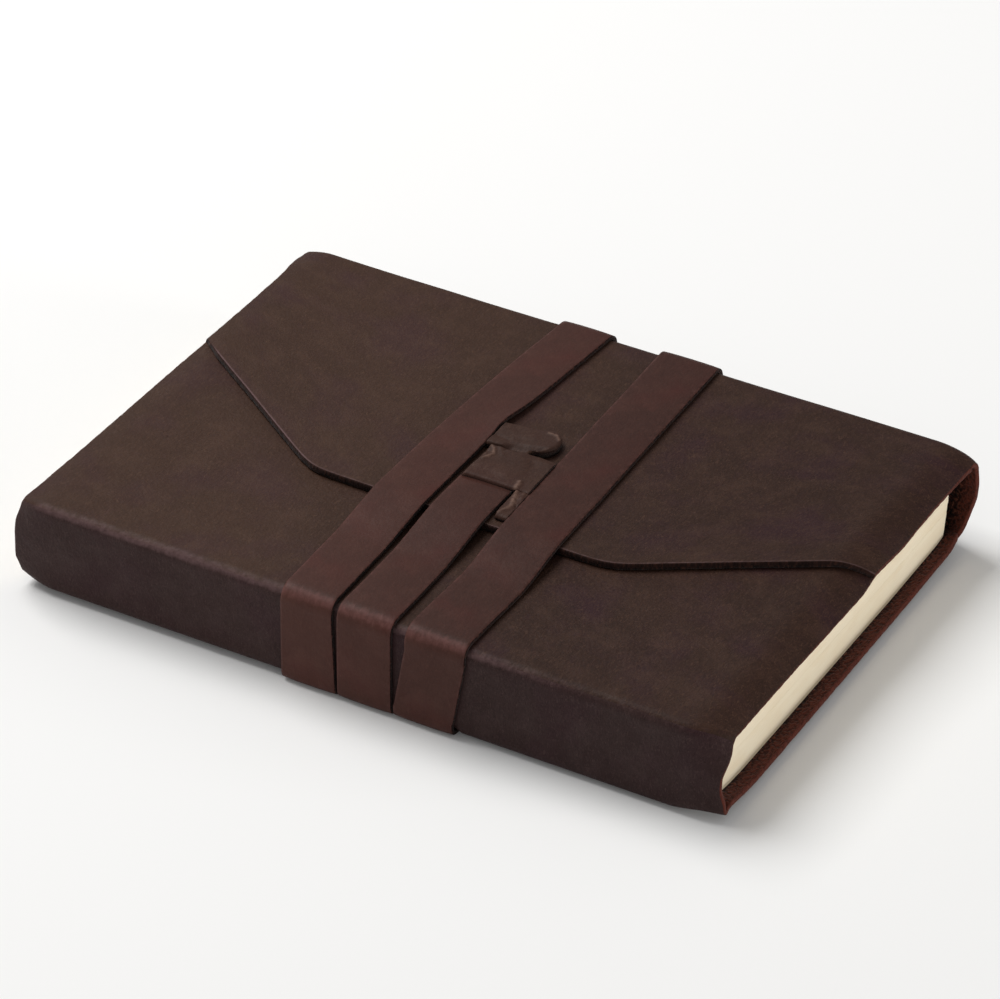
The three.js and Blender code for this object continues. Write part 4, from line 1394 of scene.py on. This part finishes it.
# The page block: its size, how high the painted shade at the foot of its page ends reaches, and where
# its points lie closer
block_low, block_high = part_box("signature_01")
BLOCK_END = block_high.x
BLOCK_SPINE = block_low.y
BLOCK_FORE = block_high.y
BLOCK_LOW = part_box("back_pastedown")[0].z
PAGES_SHORT = 0.3 * MM
FOOT_SHADE_HEIGHT = 4.5 * MM
END_ZONE = 8 * MM
GUTTER_ZONE = 12 * MM
PAGE_UV_STEP = 0.01
EDGE_MARGIN = 1e-6
CRISP_ANGLE = math.radians(40)

# Where in the noise each group's unevenness is read, and its scale
UNEVEN_STEP = 0.37
UNEVEN_PLACE = (0.2, 0.1)
UNEVEN_SCALE = 0.11

# How far one group of leaves stands out past another, and the gap above it
SIGNATURE_UNEVEN = 0.06 * MM
SIGNATURE_GAP = 0.01 * MM
LEAVES_UNEVEN = 0.08 * MM
LEAVES_GAP = 0.02 * MM
page_noise = make_noise(51)


def paper_slab(name, low_z, high_z, near, round_back, material, seed, uneven, fore_edge=BLOCK_FORE):
    """A stack of leaves: a flat block, round at the spine where it is folded."""
    half = (high_z - low_z) / 2
    middle_z = (low_z + high_z) / 2
    xs = np.concatenate([
        np.linspace(-BLOCK_END, -BLOCK_END + END_ZONE, 9)[:-1],
        np.linspace(-BLOCK_END + END_ZONE, BLOCK_END - END_ZONE, 40),
        np.linspace(BLOCK_END - END_ZONE, BLOCK_END, 9)[1:],
    ])
    coarse_from = near + GUTTER_ZONE
    ys = np.concatenate([
        np.linspace(near + half, coarse_from, 8),
        np.linspace(coarse_from, fore_edge, 30)[1:],
    ])
    section = [(y, low_z) for y in ys]
    section += [(fore_edge, middle_z)]
    section += [(y, high_z) for y in ys[::-1]]
    if round_back:
        section += [
            (near + half + half * math.cos(a), middle_z + half * math.sin(a))
            for a in np.linspace(math.pi / 2, 1.5 * math.pi, 7)[1:-1]
        ]
    section = np.array(section)
    ring = len(section)
    points = np.zeros((len(xs), ring, 3))
    points[..., 0] = xs[:, None]
    points[..., 1:] = section[None]
    shift = uneven * page_noise(np.array([seed * UNEVEN_STEP, *UNEVEN_PLACE]), UNEVEN_SCALE)
    points[0, :, 0] += shift
    points[-1, :, 0] += shift - PAGES_SHORT
    fore = section[:, 0] > fore_edge - EDGE_MARGIN
    points[:, fore, 1] += shift
    points = settle(points, False)
    faces = tube(len(xs), ring)
    last = (len(xs) - 1) * ring
    top_row = len(ys)
    for i in range(top_row - 1):
        high = 2 * top_row - i
        faces.append((i, high, high - 1, i + 1))
        faces.append((last + i, last + i + 1, last + high - 1, last + high))
    faces.append((top_row - 1, top_row + 1, top_row))
    faces.append((last + top_row - 1, last + top_row, last + top_row + 1))
    if round_back:
        tail = [0, *range(ring - 1, 2 * top_row - 1, -1)]
        faces.append(tuple(tail))
        faces.append(tuple(last + t for t in tail[::-1]))
    uvs = np.stack([points[..., 0] + points[..., 1], points[..., 2] + seed * PAGE_UV_STEP], -1)
    # Painted shade: the page ends are painted darker at their foot
    level = points[..., 2] + sag(points[..., 0], points[..., 1])
    foot_shade = 1 - ramp(level, BLOCK_LOW, BLOCK_LOW + FOOT_SHADE_HEIGHT)
    edge = np.zeros((len(xs), ring))
    edge[0], edge[-1] = 1 + foot_shade[0], 1 + foot_shade[-1]
    edge[:, fore] = 1
    obj = mesh_object(name, points, faces, uvs, [0] * len(faces), [material], "edge", edge)
    clean(obj, PAGE_JOIN)
    sharpen(obj)
    return obj


def sharpen(obj):
    """Keeps the sharper edges crisp."""
    work = bmesh.new()
    work.from_mesh(obj.data)
    for edge in work.edges:
        if len(edge.link_faces) == 2:
            edge.smooth = edge.calc_face_angle(0.0) < CRISP_ANGLE
    work.to_mesh(obj.data)
    work.free()


def lay_paper(node, ending, paper, slot, seed, uneven=0.0, top=None):
    """The sheets that stand for the model's node.

    Folded sheets are given the level top that they reach. Flat ones keep their solid's size.
    """
    low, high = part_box(node)
    name = f"{node}_{ending}"
    if top is None:
        obj = paper_slab(name, low.z, high.z, low.y, False, paper, seed, uneven, high.y)
    else:
        obj = paper_slab(name, low.z, top, BLOCK_SPINE, True, paper, seed, uneven)
    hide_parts(node)
    return obj


def make_pages():
    names = [f"signature_{i + 1:02d}" for i in range(10)] + ["loose_leaves_1"]
    for i, (name, above) in enumerate(zip(names, names[1:])):
        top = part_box(above)[0].z - SIGNATURE_GAP
        obj = lay_paper(name, "sheets", PAPER, "page_paper", i + 1, SIGNATURE_UNEVEN, top)
        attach(obj, "book")

    leaves = [
        ("loose_leaves_1", "loose_leaves_2", "leaves_low", PAPER, "page_paper"),
        ("loose_leaves_2", "loose_leaves_3", "leaves_middle", PAPER, "page_paper"),
        ("loose_leaves_3", "front_flyleaf", "leaves_high", PAPER, "page_paper"),
        ("front_flyleaf", "front_pastedown", "flyleaf", ENDPAPER, "endpaper"),
    ]
    for i, (name, above, body, paper, slot) in enumerate(leaves):
        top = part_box(above)[0].z - LEAVES_GAP
        obj = lay_paper(name, "sheets", paper, slot, i + 21, LEAVES_UNEVEN, top)
        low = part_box(name)[0].z
        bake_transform(obj)

    single = (("back_pastedown", "book"), ("back_flyleaf", "book"), ("front_pastedown", "cover"))
    for name, body in single:
        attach(lay_paper(name, "sheet", ENDPAPER, "endpaper", 31), body)


def add_uv_and_material(node, material):
    """A kept model part gets flat UVs and its finish."""
    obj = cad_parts[node]
    mesh = obj.data
    layer = mesh.uv_layers.get("UVMap") or mesh.uv_layers.new(name="UVMap")
    for loop in mesh.loops:
        co = mesh.vertices[loop.vertex_index].co
        layer.data[loop.index].uv = ((co.x + co.z) * UV_SCALE, (co.y + co.z) * UV_SCALE)
    mesh.materials.clear()
    mesh.materials.append(material)


def dress_kept_nodes():
    for i in range(5):
        add_uv_and_material(f"sewing_thread_{i + 1}", THREAD)
    add_uv_and_material("spine_lining", MULL)


# Camera, from the photograph: its place round the book, its distance and its lens
CAMERA_AZIMUTH = 29.27
CAMERA_ELEVATION = 34.06
CAMERA_ROLL = 0.59
CAMERA_DISTANCE = 9.686
CAMERA_TARGET = (0.6165, 0.6629)
CAMERA_LENS = 188.1
FITTED_WIDTH = FAR_FACE - NEAR_FACE
FITTED_HEIGHT = 0.1759


def make_camera():
    azimuth, elevation, roll = map(math.radians, (CAMERA_AZIMUTH, CAMERA_ELEVATION, CAMERA_ROLL))
    back = Vector((
        math.sin(azimuth) * math.cos(elevation),
        -math.cos(azimuth) * math.cos(elevation),
        math.sin(elevation),
    ))
    forward = -back
    right = forward.cross(Vector((0, 0, 1))).normalized()
    up = right.cross(forward)
    right_rolled = right * math.cos(roll) + up * math.sin(roll)
    up_rolled = up * math.cos(roll) - right * math.sin(roll)
    target = Vector((
        -END_X + CAMERA_TARGET[0] * FITTED_WIDTH,
        NEAR_FACE + CAMERA_TARGET[1] * FITTED_WIDTH,
        COVER_TOP - FITTED_HEIGHT * FITTED_WIDTH,
    ))
    data = bpy.data.cameras.new("camera")
    data.lens = CAMERA_LENS
    data.sensor_width = 36.0
    data.clip_start = 0.05
    data.clip_end = 20.0
    camera = bpy.data.objects.new("camera", data)
    bpy.context.scene.collection.objects.link(camera)
    rotation = Matrix((right_rolled, up_rolled, back)).transposed()
    place = target + back * CAMERA_DISTANCE * FITTED_WIDTH
    camera.matrix_world = Matrix.Translation(place) @ rotation.to_4x4()
    bpy.context.scene.camera = camera


# Studio: a pale table under soft light. The camera and reflections also see it glow a little.
TABLE_HALF = 6.0
TABLE_COLOUR = (0.9, 0.902, 0.9, 1)
GLOW_COLOUR = (1.0, 0.998, 0.992, 1)
GLOW_SHARE = 0.03
WORLD_STRENGTH = 0.34

# Lights as name, place, size, power in watts and colour. Both face the middle of the table.
LIGHTS = [
    ("key", (-1.2, 0.22, 1.75), (1.4, 1.4), 41.5, (1.0, 0.99, 0.975)),
    ("fill", (1.45, 0.25, 0.28), (0.6, 0.3), 6.3, (1.0, 0.98, 0.94)),
]


def make_floor():
    mesh = bpy.data.meshes.new("table")
    corners = [(x * TABLE_HALF, y * TABLE_HALF, 0) for x, y in ((-1, -1), (1, -1), (1, 1), (-1, 1))]
    mesh.from_pydata(corners, [], [(0, 1, 2, 3)])
    floor = bpy.data.objects.new("table", mesh)
    bpy.context.scene.collection.objects.link(floor)
    r = Recipe("table_paint", "ShaderNodeMixShader")
    path = r.add("ShaderNodeLightPath")
    seen = r.maths("MAXIMUM", path.outputs["Is Camera Ray"], path.outputs["Is Glossy Ray"])
    r.put(r.maths("MULTIPLY", seen, GLOW_SHARE), r.shader.inputs[0])
    layers = (("ShaderNodeBsdfDiffuse", TABLE_COLOUR), ("ShaderNodeEmission", GLOW_COLOUR))
    for i, (kind, colour) in enumerate(layers):
        r.link(r.add(kind, {"Color": colour}).outputs[0], r.shader.inputs[i + 1])
    mesh.materials.append(r.material)


def area_light(name, place, size, power, colour):
    data = bpy.data.lights.new(name, "AREA")
    data.shape = "RECTANGLE"
    data.size, data.size_y = size
    data.energy = power
    data.color = colour
    lamp = bpy.data.objects.new(name, data)
    bpy.context.scene.collection.objects.link(lamp)
    lamp.location = place
    lamp.rotation_mode = "QUATERNION"
    lamp.rotation_quaternion = (-Vector(place)).to_track_quat("-Z", "Y")


def make_lights():
    world = bpy.data.worlds.new("studio")
    world.use_nodes = True
    background = world.node_tree.nodes["Background"]
    background.inputs["Color"].default_value = (1.0, 1.0, 1.0, 1)
    background.inputs["Strength"].default_value = WORLD_STRENGTH
    bpy.context.scene.world = world
    for light in LIGHTS:
        area_light(*light)


make_camera()
front_cover()
spine()
back_cover()
flap()
make_strap()
knot_band()
knot_tab()
knot_twist()
make_pages()
dress_kept_nodes()
make_floor()
make_lights()
bpy.context.scene.view_settings.view_transform = "Standard"
